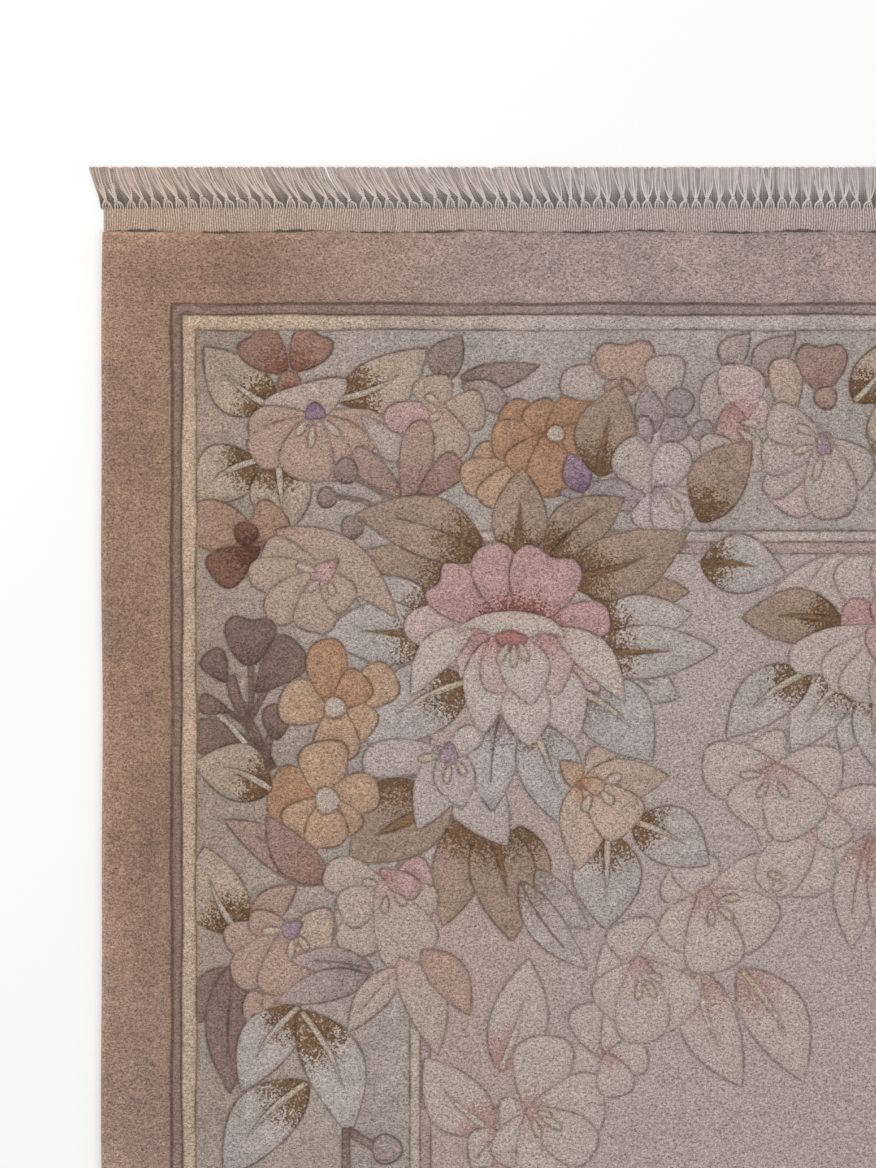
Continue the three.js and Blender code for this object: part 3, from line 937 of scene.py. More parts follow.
# %% [markdown]
# The height of the skin: full pile, minus the groove, minus the rounding at the rug's edge, plus a little
# unevenness of the shearing. A groove is a narrow dip with soft shoulders. Along the rug's sides and ends
# the skin also wavers by a few millimetres, as the solid does.

# %% heights
GROOVE_DEPTH = 1.9
GROOVE_HALF_WIDTH = 0.95
PUFF_DEPTH = 0.45
PUFF_WIDTH = 5.0
EDGE_ROUND = 7.0
EDGE_DROP = 8.0
SIDE_SWAY, END_SWAY = 2.0, 3.0
SIDE_WAVE, END_WAVE = 610.0, 170.0
SIDE_PHASE, END_PHASE = 1.0, 2.0
SWAY_DEPTH = 64


def unevenness(along, wave, phase):
    """A slow waver between 0 and 1, the same as the solid's."""
    turn = 2 * math.pi * along / wave + phase
    return 0.5 + 0.3 * np.sin(turn) + 0.2 * np.sin(2.3 * turn + phase)


groove_distance = from_groove(plan)
carve = np.exp(-(groove_distance / GROOVE_HALF_WIDTH) ** 2)
from_edge = plan.min(axis=1)
rounding = np.clip(1 - from_edge / EDGE_ROUND, 0, 1)
edge_drop = EDGE_DROP * (1 - np.sqrt(1 - rounding ** 2))
ripple = 0.22 * np.sin(plan[:, 0] / 23 + 1.3 * np.sin(plan[:, 1] / 31)) * np.sin(plan[:, 1] / 19)
height = PILE_TOP - GROOVE_DEPTH * carve - PUFF_DEPTH * np.exp(-(groove_distance / PUFF_WIDTH) ** 2)
height = height - edge_drop + np.where(from_edge > EDGE_ROUND, ripple - 0.25, 0)

sway_share = np.clip(1 - plan / SWAY_DEPTH, 0, 1)
side_in = SIDE_SWAY * unevenness(PILE_HALF_LENGTH - plan[:, 1], SIDE_WAVE, SIDE_PHASE) * sway_share[:, 0]
end_in = END_SWAY * unevenness(PILE_HALF_WIDTH - plan[:, 0], END_WAVE, END_PHASE) * sway_share[:, 1]
x_quarter = -(PILE_HALF_WIDTH - plan[:, 0] - side_in)
y_quarter = PILE_HALF_LENGTH - plan[:, 1] - end_in
print("heights from", height.min().round(2), "to", height.max().round(2), "mm")

# %% the four quarters joined into one skin
points, all_triangles, corner_order = [], [], []
for sign_x, sign_y in [(1, 1), (-1, 1), (-1, -1), (1, -1)]:
    order = np.array([0, 2, 1]) if sign_x * sign_y > 0 else np.array([0, 1, 2])
    base = len(points) * len(plan)
    points.append(np.column_stack([sign_x * x_quarter, sign_y * y_quarter, height]))
    all_triangles.append(triangles[:, order] + base)
    corner_order.append((np.arange(len(triangles))[:, None] * 3 + order).ravel())
points = np.vstack(points) * MM
all_triangles = np.vstack(all_triangles)
corner_order = np.concatenate(corner_order)

mesh = bpy.data.meshes.new("silk_pile")
mesh.from_pydata(points.tolist(), [], all_triangles.tolist())
pile = bpy.data.objects.new("silk_pile", mesh)
bpy.context.collection.objects.link(pile)


def add_colour(target, name, values):
    layer = target.attributes.new(name, "FLOAT_COLOR", "CORNER")
    layer.data.foreach_set("color", np.column_stack([values, np.ones(len(values))]).ravel())


def add_number(target, name, values, domain):
    layer = target.attributes.new(name, "FLOAT", domain)
    layer.data.foreach_set("value", np.asarray(values, float))


add_colour(mesh, "tip_dye", tip_colour[corner_order])
add_colour(mesh, "foot_dye", foot_colour[corner_order])
add_number(mesh, "deep_share", shade[corner_order], "CORNER")
add_number(mesh, "groove_shade_and_mottle", groove_shade_and_mottle[corner_order], "CORNER")
add_number(mesh, "from_groove", np.tile(np.minimum(groove_distance, 12), 4), "POINT")
print("pile skin", len(mesh.polygons), "triangles")

# %% [markdown]
# The mirrored quarters meet along the rug's two axes. Their shared points are merged, and the open rim is
# pulled down to the floor and drawn in a little, as the overcast edge of the real rug is. The underside
# is one flat face.

# %% weld, rim and underside
WELD = 0.15
RIM_IN = 2.0


def edit_only(thing):
    """Edit mode on one object, with nothing of it selected."""
    if bpy.context.object and bpy.context.object.mode != "OBJECT":
        bpy.ops.object.mode_set(mode="OBJECT")
    bpy.ops.object.select_all(action="DESELECT")
    thing.select_set(True)
    bpy.context.view_layer.objects.active = thing
    bpy.ops.object.mode_set(mode="EDIT")
    bpy.ops.mesh.select_all(action="DESELECT")


def edit_rim(thing):
    """Edit mode on one object, with its open edges selected."""
    edit_only(thing)
    bpy.ops.mesh.select_mode(type="EDGE")
    bpy.ops.mesh.select_non_manifold()


edit_only(pile)
bpy.ops.mesh.select_all(action="SELECT")
bpy.ops.mesh.remove_doubles(threshold=WELD * MM)
edit_rim(pile)
rim_height = EDGE_DROP - PILE_TOP
bpy.ops.mesh.extrude_edges_move(TRANSFORM_OT_translate={"value": (0, 0, rim_height * MM)})
draw_in = (1 - RIM_IN / PILE_HALF_WIDTH, 1 - RIM_IN / PILE_HALF_LENGTH, 1)
bpy.ops.transform.resize(value=draw_in, center_override=(0, 0, 0))
bpy.ops.mesh.edge_face_add()
bpy.ops.object.mode_set(mode="OBJECT")
mesh = pile.data
bpy.ops.object.shade_smooth_by_angle(angle=math.radians(70))
print("pile faces", len(mesh.polygons), "lowest", round(min(v.co.z for v in mesh.vertices) / MM, 3))

# %% [markdown]
# Material nodes. One small function adds a node of any kind, with its settings, values and links, and
# every finish is built with it.

# %% one function for all material nodes
def new_finish(name):
    finish = bpy.data.materials.new(name)
    finish.use_nodes = True
    finish.node_tree.nodes.clear()
    return finish, finish.node_tree


def node(tree, kind, sockets=None, output=0, **settings):
    """Adds a node. Each socket named here takes a value, or is linked to the output given for it."""
    made = tree.nodes.new("ShaderNode" + kind)
    for name, value in settings.items():
        setattr(made, name, value)
    for name, value in (sockets or {}).items():
        if isinstance(value, bpy.types.NodeSocket):
            tree.links.new(value, made.inputs[name])
        else:
            made.inputs[name].default_value = value
    return made.outputs[output] if made.outputs else made


def opaque(hex_colour):
    return (*to_linear(hex_colour), 1)


MIX_A, MIX_B, MIX_OUT = 6, 7, 2
FROM_LOW, FROM_HIGH, TO_LOW, TO_HIGH = 1, 2, 3, 4
MIDDLE = {FROM_LOW: 0.3, FROM_HIGH: 0.7}

# %% [markdown]
# Silk pile, dyed and hand-knotted, then sheared. Silk gives soft highlights that a rough surface would
# not have, so the finish has a sheen. A knot is about 2.5 mm wide and shows as two tufts, each wholly of
# one dye, which is why the shading from a leaf's foot to its tip looks like fine stippling. The dye lots
# differ a little from row to row, which shows as faint streaks across the rug.

# %% silk pile: the dyes and their stippling
KNOT = 2.5 * MM
TUFT = 0.68 * KNOT
silk, tree = new_finish("hand-knotted silk pile")
place = node(tree, "TexCoord", output="Object")
tip_dye, foot_dye = [node(tree, "Attribute", output="Color", attribute_name=name)
                     for name in ("tip_dye", "foot_dye")]
deep_share, groove_mm, groove_shade_and_mottle_weight = [node(tree, "Attribute", output="Fac", attribute_name=name)
                                   for name in ("deep_share", "from_groove", "groove_shade_and_mottle")]
tufts = node(tree, "TexVoronoi", {"Scale": 1 / TUFT, "Randomness": 0.8, "Vector": place}, "Color",
             voronoi_dimensions="2D")
chance = node(tree, "SeparateColor", {"Color": tufts})
reach = node(tree, "MapRange", {0: deep_share, TO_LOW: -0.15, TO_HIGH: 0.92})
beyond = node(tree, "Math", {0: reach, 1: chance}, operation="SUBTRACT")
deep = node(tree, "Math", {0: beyond, 1: 3.0, 2: 0.5}, operation="MULTIPLY_ADD", use_clamp=True)
dyed = node(tree, "Mix", {0: deep, MIX_A: tip_dye, MIX_B: foot_dye}, MIX_OUT, data_type="RGBA")
print("tufts", round(TUFT / MM, 2), "mm wide")

# %% silk pile: grain, mottling and streaks
rows = node(tree, "Mapping", {"Scale": (0.7, 1.0, 1.0), "Vector": place})
along_rows = node(tree, "Mapping", {"Scale": (0.12, 1.0, 1.0), "Vector": place})
wiggles = node(tree, "TexNoise", {"Scale": 1 / (0.82 * KNOT), "Detail": 1.0, "Distortion": 0.4,
                                  "Vector": rows})
fibres = node(tree, "TexNoise", {"Scale": 1 / (0.52 * KNOT), "Detail": 2.0, "Roughness": 0.6,
                                 "Vector": place})
wiggles = node(tree, "Math", {0: wiggles, 1: 0.42}, operation="MULTIPLY")
grain = node(tree, "Math", {0: fibres, 1: 0.58, 2: wiggles}, operation="MULTIPLY_ADD")
clumps = node(tree, "TexNoise", {"Scale": 1 / (11.11 * MM), "Detail": 2.0, "Vector": place})
mottle = node(tree, "TexNoise", {"Scale": 1 / (71.4 * MM), "Detail": 3.0, "Vector": place})
streaks = node(tree, "TexNoise", {"Scale": 1 / (10.53 * MM), "Detail": 2.0, "Vector": along_rows})
clumps, mottle = [node(tree, "MapRange", {**MIDDLE, 0: pattern, TO_LOW: -0.5, TO_HIGH: 0.5})
                  for pattern in (clumps, mottle)]
patchy = node(tree, "Math", {0: clumps, 1: mottle}, operation="ADD")
spread = node(tree, "MapRange", {0: groove_shade_and_mottle_weight, FROM_LOW: FAINT, FROM_HIGH: 1.0, TO_LOW: 0.04, TO_HIGH: 0.22})
patchy = node(tree, "Math", {0: patchy, 1: spread, 2: 1.0}, operation="MULTIPLY_ADD")
lots = node(tree, "MapRange", {**MIDDLE, 0: streaks, TO_LOW: 0.97, TO_HIGH: 1.03})
# The grain's tone is partly the knots' own differing colour and partly painted shade between the tufts,
# with painted highlights on their tips.
tone = node(tree, "MapRange", {**MIDDLE, 0: grain, TO_LOW: 0.28, TO_HIGH: 1.79})
for part in (patchy, lots):
    tone = node(tree, "Math", {0: tone, 1: part}, operation="MULTIPLY")
toned = node(tree, "VectorMath", {0: dyed, "Scale": tone}, operation="SCALE")

# %% silk pile: painted shade in the carved lines, the nap and the shader
# Shade is painted into each carved groove: near a groove the colour is mixed towards a dark brown, wider
# for boldly lined dyes and fainter and narrower for faintly lined ones.
half = node(tree, "Math", {0: groove_shade_and_mottle_weight, 1: 0.5, 2: 0.5}, operation="MULTIPLY_ADD")
aside = node(tree, "Math", {0: groove_mm, 1: half}, operation="DIVIDE")
shadow = node(tree, "MapRange", {0: aside, FROM_LOW: 0.15, FROM_HIGH: 1.25, TO_LOW: 0.56, TO_HIGH: 0.0},
              interpolation_type="SMOOTHSTEP")
faintness = node(tree, "Math", {0: groove_shade_and_mottle_weight, 1: 1.0}, operation="MINIMUM")
shadow = node(tree, "Math", {0: shadow, 1: faintness}, operation="MULTIPLY")
groove_shaded = node(tree, "Mix", {0: shadow, MIX_A: toned, MIX_B: opaque("#5d4a3b")}, MIX_OUT, data_type="RGBA")
rise = node(tree, "MapRange", {0: groove_mm, FROM_HIGH: 2.2}, interpolation_type="SMOOTHSTEP")
nap = node(tree, "Math", {0: grain, 1: 1.4, 2: rise}, operation="MULTIPLY_ADD")
bump = node(tree, "Bump", {"Strength": 0.6, "Distance": 1.5 * MM, "Height": nap})
shader = node(tree, "BsdfPrincipled", {
    "Base Color": groove_shaded, "Roughness": 0.72, "Specular IOR Level": 0.3, "Sheen Weight": 0.12,
    "Sheen Roughness": 0.45, "Normal": bump})
node(tree, "OutputMaterial", {"Surface": shader})
pile.data.materials.append(silk)
print("silk pile has", len(tree.nodes), "nodes")

# %% [markdown]
# The back of a hand-knotted rug shows every knot as a small bead, in rows, with the border's plain bands
# in the same colours as on the face. The bands follow the distance to the nearest edge.

# %% knotted back
BACK_BANDS = [(0, "#947b6e"), (72, "#8b7369"), (82, "#ad9a8b"), (100, "#97877c"), (310, "#ad9e94"),
              (320, "#97857d"), (331, "#a4938c")]
back, tree = new_finish("knotted back of the foundation")
place = node(tree, "TexCoord", output="Object")
split = node(tree, "SeparateXYZ", {0: place}).node
insets = []
for axis, reach in enumerate((PILE_HALF_WIDTH, PILE_HALF_LENGTH)):
    outwards = node(tree, "Math", {0: split.outputs[axis]}, operation="ABSOLUTE")
    insets.append(node(tree, "Math", {0: reach * MM, 1: outwards}, operation="SUBTRACT"))
nearest = node(tree, "Math", {0: insets[0], 1: insets[1]}, operation="MINIMUM")
bands = node(tree, "ValToRGB", {0: nearest})
ramp = bands.node.color_ramp
ramp.interpolation = "CONSTANT"
for start, colour in BACK_BANDS[1:-1]:
    ramp.elements.new(start * MM)
for element, (start, colour) in zip(ramp.elements, BACK_BANDS):
    element.position, element.color = start * MM, opaque(colour)
beads = node(tree, "TexBrick", {"Scale": 1 / KNOT, "Mortar Size": 0.12, "Mortar Smooth": 0.6,
                                "Brick Width": 1.0, "Row Height": 1.0, "Vector": place}, "Fac", offset=0.5)
speckle = node(tree, "TexNoise", {"Scale": 1 / (16.667 * MM), "Detail": 3.0, "Vector": place})
speckle = node(tree, "MapRange", {**MIDDLE, 0: speckle, TO_LOW: 0.9, TO_HIGH: 1.08})
tone = node(tree, "Math", {0: beads, 1: -0.3, 2: 1.0}, operation="MULTIPLY_ADD")
tone = node(tree, "Math", {0: speckle, 1: tone}, operation="MULTIPLY")
beaded = node(tree, "VectorMath", {0: bands, "Scale": tone}, operation="SCALE")
raised = node(tree, "Math", {0: 1.0, 1: beads}, operation="SUBTRACT")
bump = node(tree, "Bump", {"Strength": 0.5, "Distance": 0.6 * MM, "Height": raised})
shader = node(tree, "BsdfPrincipled", {"Base Color": beaded, "Roughness": 0.85, "Specular IOR Level": 0.2,
                                       "Normal": bump})
node(tree, "OutputMaterial", {"Surface": shader})
pile.data.materials.append(back)
for face in pile.data.polygons:
    if face.normal.z < -0.9:
        face.material_index = 1
print("underside faces", sum(face.material_index for face in pile.data.polygons))

# %% [markdown]
# The flatwoven end is the foundation without its pile: pairs of warp threads lie side by side as narrow
# ribs. One rib is modelled and arrayed across the rug. Then the ribs get the slight waver of handwork.

# %% one rib, arrayed across the end
RIB_COUNT = 650
RIB_PITCH = 2 * PILE_HALF_WIDTH / RIB_COUNT
RIB_RISE = 0.9
FLAT_TOP, FLAT_BOTTOM, FLAT_SKIRT = 2.35, 0.2, 1.0
FLAT_START = PILE_HALF_LENGTH - 5
FLAT_END = PILE_HALF_LENGTH + FLATWEAVE_LENGTH + 0.6
RIB_COLUMNS, RIB_ROWS = 4, 8
SIDE_IN = 3.0


def ribbed_strip(name):
    bpy.ops.object.select_all(action="DESELECT")
    bpy.ops.mesh.primitive_grid_add(x_subdivisions=RIB_COLUMNS, y_subdivisions=RIB_ROWS, size=1,
                                    location=(0, 0, 0))
    strip = bpy.context.object
    strip.name = strip.data.name = name
    for vertex in strip.data.vertices:
        crown = math.cos(math.pi * vertex.co.x)
        vertex.co.z = (FLAT_TOP - RIB_RISE * (1 - crown)) * MM
        vertex.co.x = ((vertex.co.x + 0.5) * RIB_PITCH - PILE_HALF_WIDTH) * MM
        vertex.co.y = (vertex.co.y * (FLAT_END - FLAT_START) + (FLAT_START + FLAT_END) / 2) * MM
    array = strip.modifiers.new("ribs", "ARRAY")
    array.count = RIB_COUNT
    array.relative_offset_displace = (1, 0, 0)
    array.use_merge_vertices = True
    array.merge_threshold = 0.05 * MM
    bpy.ops.object.modifier_apply(modifier="ribs")
    return strip


# %% the waver of the ribs, and how far each point is from the pile
def waver(strip):
    places = np.zeros(3 * len(strip.data.vertices))
    strip.data.vertices.foreach_get("co", places)
    places = places.reshape(-1, 3)
    x, y = places[:, 0] / MM, places[:, 1] / MM
    inner = 1 - (np.abs(x) / PILE_HALF_WIDTH) ** 40
    sway = 0.55 * np.sin(x / 37 + y / 9) + 0.4 * np.sin(x / 11.3 - y / 6.1)
    sway += 0.3 * np.sin(x / 5.1 + y / 4.0)
    crown = np.cos(2 * math.pi * (x + PILE_HALF_WIDTH) / RIB_PITCH - math.pi)
    places[:, 0] += (sway * inner - SIDE_IN * x / PILE_HALF_WIDTH) * MM
    places[:, 2] += (0.12 * np.sin(x / 61) + 0.1 * np.sin(x / 7.7 + y / 5) - 0.2) * MM
    strip.data.vertices.foreach_set("co", places.ravel())
    # How far each point is from the pile's wavering, ragged edge, where the material paints the pile's
    # shadow.
    edge = PILE_HALF_LENGTH - END_SWAY * unevenness(x, END_WAVE, END_PHASE)
    raggedness = 0.5 * np.sin(x / 2.9) + 0.4 * np.sin(x / 1.7 + 1.0) + 0.5 * np.sin(x / 13)
    add_number(strip.data, "from_pile", y - edge + raggedness, "POINT")
    # Where each rib's crown lies, for the painted shade in the hollows and the painted highlight on top.
    add_number(strip.data, "rib_crown", crown, "POINT")


def turn_to_near_end():
    """Turns what is being edited half round the rug's middle, to the other end."""
    bpy.ops.mesh.select_all(action="SELECT")
    bpy.ops.transform.rotate(value=math.pi, orient_axis="Z", center_override=(0, 0, 0))


# %% the strips, closed underneath
def flatwoven_end(name, at_near_end):
    strip = ribbed_strip(name)
    waver(strip)
    edit_rim(strip)
    bpy.ops.mesh.extrude_edges_move(TRANSFORM_OT_translate={"value": (0, 0, -FLAT_SKIRT * MM)})
    bpy.ops.object.mode_set(mode="OBJECT")
    for vertex in strip.data.vertices:
        if vertex.select:
            vertex.co.z = FLAT_BOTTOM * MM
    edit_rim(strip)
    bpy.ops.mesh.edge_face_add()
    if at_near_end:
        turn_to_near_end()
    bpy.ops.mesh.select_all(action="SELECT")
    bpy.ops.mesh.normals_make_consistent(inside=False)
    bpy.ops.object.mode_set(mode="OBJECT")
    bpy.ops.object.shade_smooth_by_angle(angle=math.radians(60))
    return strip


flat_far = flatwoven_end("flatwoven_end_far", False)
flat_near = flatwoven_end("flatwoven_end_near", True)
print("flatwoven end", len(flat_far.data.polygons), "faces,", round(RIB_PITCH, 2), "mm a rib")

# %% [markdown]
# Undyed cotton and silk warp, woven plain. It is matt, with a grey-beige colour that differs a little
# from thread to thread. Shade is painted on it along the pile's edge, where the pile would shadow it, and
# in the hollows between the ribs, with a painted highlight along each rib's crown.

# %% flatwoven warp
def undyed_hue(tree, place, uneven, grey, yellow):
    """Undyed thread is drawn yellower towards the rug's sides."""
    across = node(tree, "Math", {0: node(tree, "SeparateXYZ", {0: place})}, operation="ABSOLUTE")
    sideways = node(tree, "MapRange", {0: across, FROM_LOW: 0.3, FROM_HIGH: 0.75, TO_HIGH: 0.8})
    share = node(tree, "Math", {0: uneven, 1: 0.3, 2: sideways}, operation="MULTIPLY_ADD")
    return node(tree, "Mix", {0: share, MIX_A: opaque(grey), MIX_B: opaque(yellow)}, MIX_OUT,
                data_type="RGBA")


warp, tree = new_finish("flatwoven undyed warp")
place = node(tree, "TexCoord", output="Object")
lengthways = node(tree, "Mapping", {"Scale": (1.0, 0.06, 1.0), "Vector": place})
threads = node(tree, "TexNoise", {"Scale": 1 / (2.381 * MM), "Detail": 2.0, "Vector": lengthways})
crossings = node(tree, "TexNoise", {"Scale": 1 / (1.9 * MM), "Detail": 1.0, "Vector": place})
uneven = node(tree, "TexNoise", {"Scale": 1 / (62.5 * MM), "Detail": 3.0, "Vector": place})
from_pile, rib_crown = [node(tree, "Attribute", output="Fac", attribute_name=name)
                        for name in ("from_pile", "rib_crown")]
# Painted shadow of the pile's edge on the flatweave.
pile_shadow = node(tree, "MapRange", {0: from_pile, FROM_LOW: 0.3, FROM_HIGH: 2.5, TO_LOW: 0.3},
             interpolation_type="SMOOTHSTEP")
# Painted shade between the ribs and a painted highlight along their crowns.
rib_shade_and_highlight = node(tree, "MapRange", {0: rib_crown, FROM_LOW: -1.0, TO_LOW: 0.58, TO_HIGH: 1.14})
crossings = node(tree, "MapRange", {**MIDDLE, 0: crossings, TO_LOW: 0.74, TO_HIGH: 1.26})
tone = node(tree, "MapRange", {**MIDDLE, 0: threads, TO_LOW: 0.88, TO_HIGH: 1.1})
for part in (pile_shadow, rib_shade_and_highlight, crossings):
    tone = node(tree, "Math", {0: tone, 1: part}, operation="MULTIPLY")
hue = undyed_hue(tree, place, uneven, "#beafa9", "#c3ab98")
woven = node(tree, "VectorMath", {0: hue, "Scale": tone}, operation="SCALE")
weft = node(tree, "TexWave", {"Scale": 1 / (1.3 * MM) / 6.28, "Distortion": 1.5, "Detail": 1.0,
                              "Vector": place}, "Fac", wave_type="BANDS", bands_direction="Y")
bump = node(tree, "Bump", {"Strength": 0.35, "Distance": 0.3 * MM, "Height": weft})
shader = node(tree, "BsdfPrincipled", {"Base Color": woven, "Roughness": 0.85, "Specular IOR Level": 0.2,
                                       "Normal": bump})
node(tree, "OutputMaterial", {"Surface": shader})
for strip in (flat_far, flat_near):
    strip.data.materials.append(warp)
print("flatwoven warp has", len(tree.nodes), "nodes")

# %% [markdown]
# The fringe is the warp itself. Its threads leave the flatweave in small groups, each group is tied in a
# knot about 9 mm out, and the yarns then fan out to the trimmed line. A lower layer of yarns lies under
# the knots, with painted shade on it that is darkest near the knots. Each yarn is a tube along a curve,
# and all of one end are one mesh, as the solid model's comb is.

# %% where the fringe leans
LOCKS = 130
LOCK_PITCH = 2 * PILE_HALF_WIDTH / LOCKS
FRINGE_START = FLAT_END - 0.5
MIDDLE_LEAN, SIDE_LEAN, CORNER_FLARE = 3.0, 19.0, 13.0


def smoothstep(value, low, high):
    share = np.clip((value - low) / (high - low), 0, 1)
    return share * share * (3 - 2 * share)


def lean_at(x):
    """How far a yarn's tip lies to the side of its foot, the same as in the solid."""
    share = min(abs(x) / PILE_HALF_WIDTH, 1)
    outwards = MIDDLE_LEAN * share + SIDE_LEAN * smoothstep(share, 0.25, 0.6)
    held_in = (MIDDLE_LEAN + SIDE_LEAN - CORNER_FLARE) * smoothstep(share, 0.86, 1.0)
    return float(np.sign(x) * (outwards - held_in))


print("locks", LOCKS, "at", round(LOCK_PITCH, 2), "mm")

# %% yarn tubes
class Yarns:
    """Tapered tubes in one mesh, with each yarn's own light and its position along and around."""

    def __init__(self):
        self.points, self.faces, self.coords, self.lights = [], [], [], []
        self.count = 0

    def add(self, line, radii, light, sides=5):
        line, radii = np.array(line, float), np.array(radii, float)
        lights = np.broadcast_to(light, len(line))
        step = np.gradient(line, axis=0)
        step /= np.linalg.norm(step, axis=1)[:, None]
        side = np.column_stack([-step[:, 1], step[:, 0], np.zeros(len(step))])
        side /= np.linalg.norm(side, axis=1)[:, None]
        up = np.cross(side, step)
        angle = 2 * math.pi * np.arange(sides) / sides
        ring = np.cos(angle)[None, :, None] * side[:, None] + np.sin(angle)[None, :, None] * up[:, None]
        self.points.append((line[:, None] + ring * radii[:, None, None]).reshape(-1, 3))
        gone = np.concatenate([[0], np.cumsum(np.linalg.norm(np.diff(line, axis=0), axis=1))]) * MM
        for i in range(len(line) - 1):
            a, b = self.count + i * sides, self.count + (i + 1) * sides
            for j in range(sides):
                k = (j + 1) % sides
                self.faces.append((a + j, a + k, b + k, b + j))
                self.coords += [(gone[i], j / sides), (gone[i], (j + 1) / sides),
                                (gone[i + 1], (j + 1) / sides), (gone[i + 1], j / sides)]
                self.lights += [lights[i], lights[i], lights[i + 1], lights[i + 1]]
        for ring_index, order in ((0, -1), (len(line) - 1, 1)):
            base = self.count + ring_index * sides
            self.faces.append(tuple(range(base, base + sides))[::order])
            self.coords += [(0, 0)] * sides
            self.lights += [lights[ring_index]] * sides
        self.count += len(line) * sides

    def to_piece(self, name):
        made = bpy.data.meshes.new(name)
        made.from_pydata((np.vstack(self.points) * MM).tolist(), [], self.faces)
        made.uv_layers.new(name="yarn").data.foreach_set("uv", np.array(self.coords, float).ravel())
        add_number(made, "yarn_light", self.lights, "CORNER")
        piece = bpy.data.objects.new(name, made)
        bpy.context.collection.objects.link(piece)
        return piece


def curve_through(points, count):
    """A smooth line through a few points."""
    points = np.array(points, float)
    at = np.linspace(0, len(points) - 1, count)
    first = np.clip(at.astype(int), 0, len(points) - 2)
    share = (at - first)[:, None]
    before = points[np.maximum(first - 1, 0)]
    here, after = points[first], points[first + 1]
    beyond = points[np.minimum(first + 2, len(points) - 1)]
    return 0.5 * (2 * here + (after - before) * share
                  + (2 * before - 5 * here + 4 * after - beyond) * share ** 2
                  + (3 * here - before - 3 * after + beyond) * share ** 3)


# %% [markdown]
# No two locks are alike: the knots sit a little nearer or further, some yarns cross, and the fan is
# uneven. The seeded numbers below give each lock its own small differences. All sizes and heights are in
# millimetres. The yarn is drawn a little thicker than the real one, so that it shows.

# %% the legs of a lock, and its knot
YARN = 0.8
TRIM_AT = FRINGE_REACH + 1.2
KNOT_OUT = 9.0
# Painted light of the legs: the two middle legs, under the knot, get painted shade.
LEG_LIGHT = (1.0, 0.74, 0.78, 0.96)


def middles(count):
    """The middles of equal parts of a width, from -0.5 to 0.5."""
    return [(i + 0.5) / count - 0.5 for i in range(count)]


def add_legs(yarns, draw, x, knot_x, knot_y):
    for share, light in zip(middles(len(LEG_LIGHT)), LEG_LIGHT):
        foot_x = x + share * LOCK_PITCH * 0.94
        arch = draw.uniform(0.68, 0.92)
        middle_x = foot_x * arch + knot_x * (1 - arch)
        leg = [(foot_x, FRINGE_START - 0.6, 1.3), (middle_x, (FRINGE_START + knot_y) / 2 + 0.3, 1.9),
               (knot_x + 2.0 * share, knot_y - 0.6, 2.5)]
        yarns.add(curve_through(leg, 5), [1.35 * YARN] * 5, light * draw.uniform(0.92, 1.06))


def add_knot(yarns, draw, x, y):
    bulge = draw.uniform(1.65, 2.1)
    turn = draw.uniform(-0.5, 0.5)
    body = [(x + turn * share, y + along, z) for share, along, z in (
        (-0.9, -1.9, 2.5), (-0.4, -0.9, 2.7), (0, 0, 2.75), (0.4, 0.9, 2.6), (0.9, 1.9, 2.2))]
    yarns.add(body, bulge * np.array([0.7, 1, 1.04, 0.95, 0.6]), draw.uniform(0.98, 1.08), 7)
    tilt = draw.uniform(-0.7, 0.7)
    wrap = [(x - 2.2, y - 0.9 + tilt, 2.4), (x, y + 0.2 * tilt, 4.15), (x + 2.2, y + 0.7 - tilt, 2.4)]
    yarns.add(curve_through(wrap, 5), [0.55, 0.75, 0.8, 0.75, 0.55], draw.uniform(1.0, 1.1))


# %% the fan of a lock, and the yarns under it
STRANDS, UNDER_STRANDS = 5, 6
STRAND_RADII = YARN * np.array([1.05, 1.25, 1.3, 1.3, 1.3, 1.25, 0.9])
# Painted shade along each under yarn, darkest at its root where the knots shadow it.
UNDER_LIGHT = np.array([0.28, 0.42, 0.72, 0.84, 0.84])
UNDER_RADIUS, UNDER_HEIGHT = 1.2, 1.25


def add_fan(yarns, draw, knot_x, knot_y, onward):
    spread = LOCK_PITCH * draw.uniform(0.92, 1.12)
    lifted = draw.permutation(STRANDS) % 2
    for share, lift in zip(middles(STRANDS), lifted):
        fan = share * spread + draw.uniform(-1.1, 1.1)
        wave = draw.uniform(-1.4, 1.4)
        rest = 1.3 * YARN + 0.9 * lift
        strand = [(knot_x + 2.2 * share, knot_y + 1.2, 2.3),
                  (knot_x + 0.33 * onward + 0.62 * fan + wave, knot_y + 9.5, 1.6 + 0.5 * lift),
                  (knot_x + 0.7 * onward + 0.92 * fan + 0.6 * wave, knot_y + 19.5, rest),
                  (knot_x + onward + fan, TRIM_AT - draw.uniform(0.0, 0.9), rest)]
        yarns.add(curve_through(strand, 7), STRAND_RADII, draw.uniform(0.84, 1.1))


def add_under(yarns, draw, x, lean, outermost):
    for share in middles(UNDER_STRANDS):
        foot_x = x + share * LOCK_PITCH
        tip_x = foot_x + lean * draw.uniform(0.85, 1.0) + draw.uniform(-0.5, 0.5)
        if outermost:
            tip_x = foot_x + lean * 0.85
        tip_y = TRIM_AT - draw.uniform(0.2, 1.6)
        bow = draw.uniform(-0.5, 0.5)
        strand = [(foot_x, FRINGE_START - 0.4), (foot_x * 0.8 + tip_x * 0.2 + bow, FRINGE_START + 13),
                  (foot_x * 0.3 + tip_x * 0.7 + bow, FRINGE_START + 27), (tip_x, tip_y)]
        strand = [(*point, UNDER_HEIGHT) for point in strand]
        yarns.add(curve_through(strand, 5), [UNDER_RADIUS] * 5, draw.uniform(0.72, 1.08) * UNDER_LIGHT, 4)


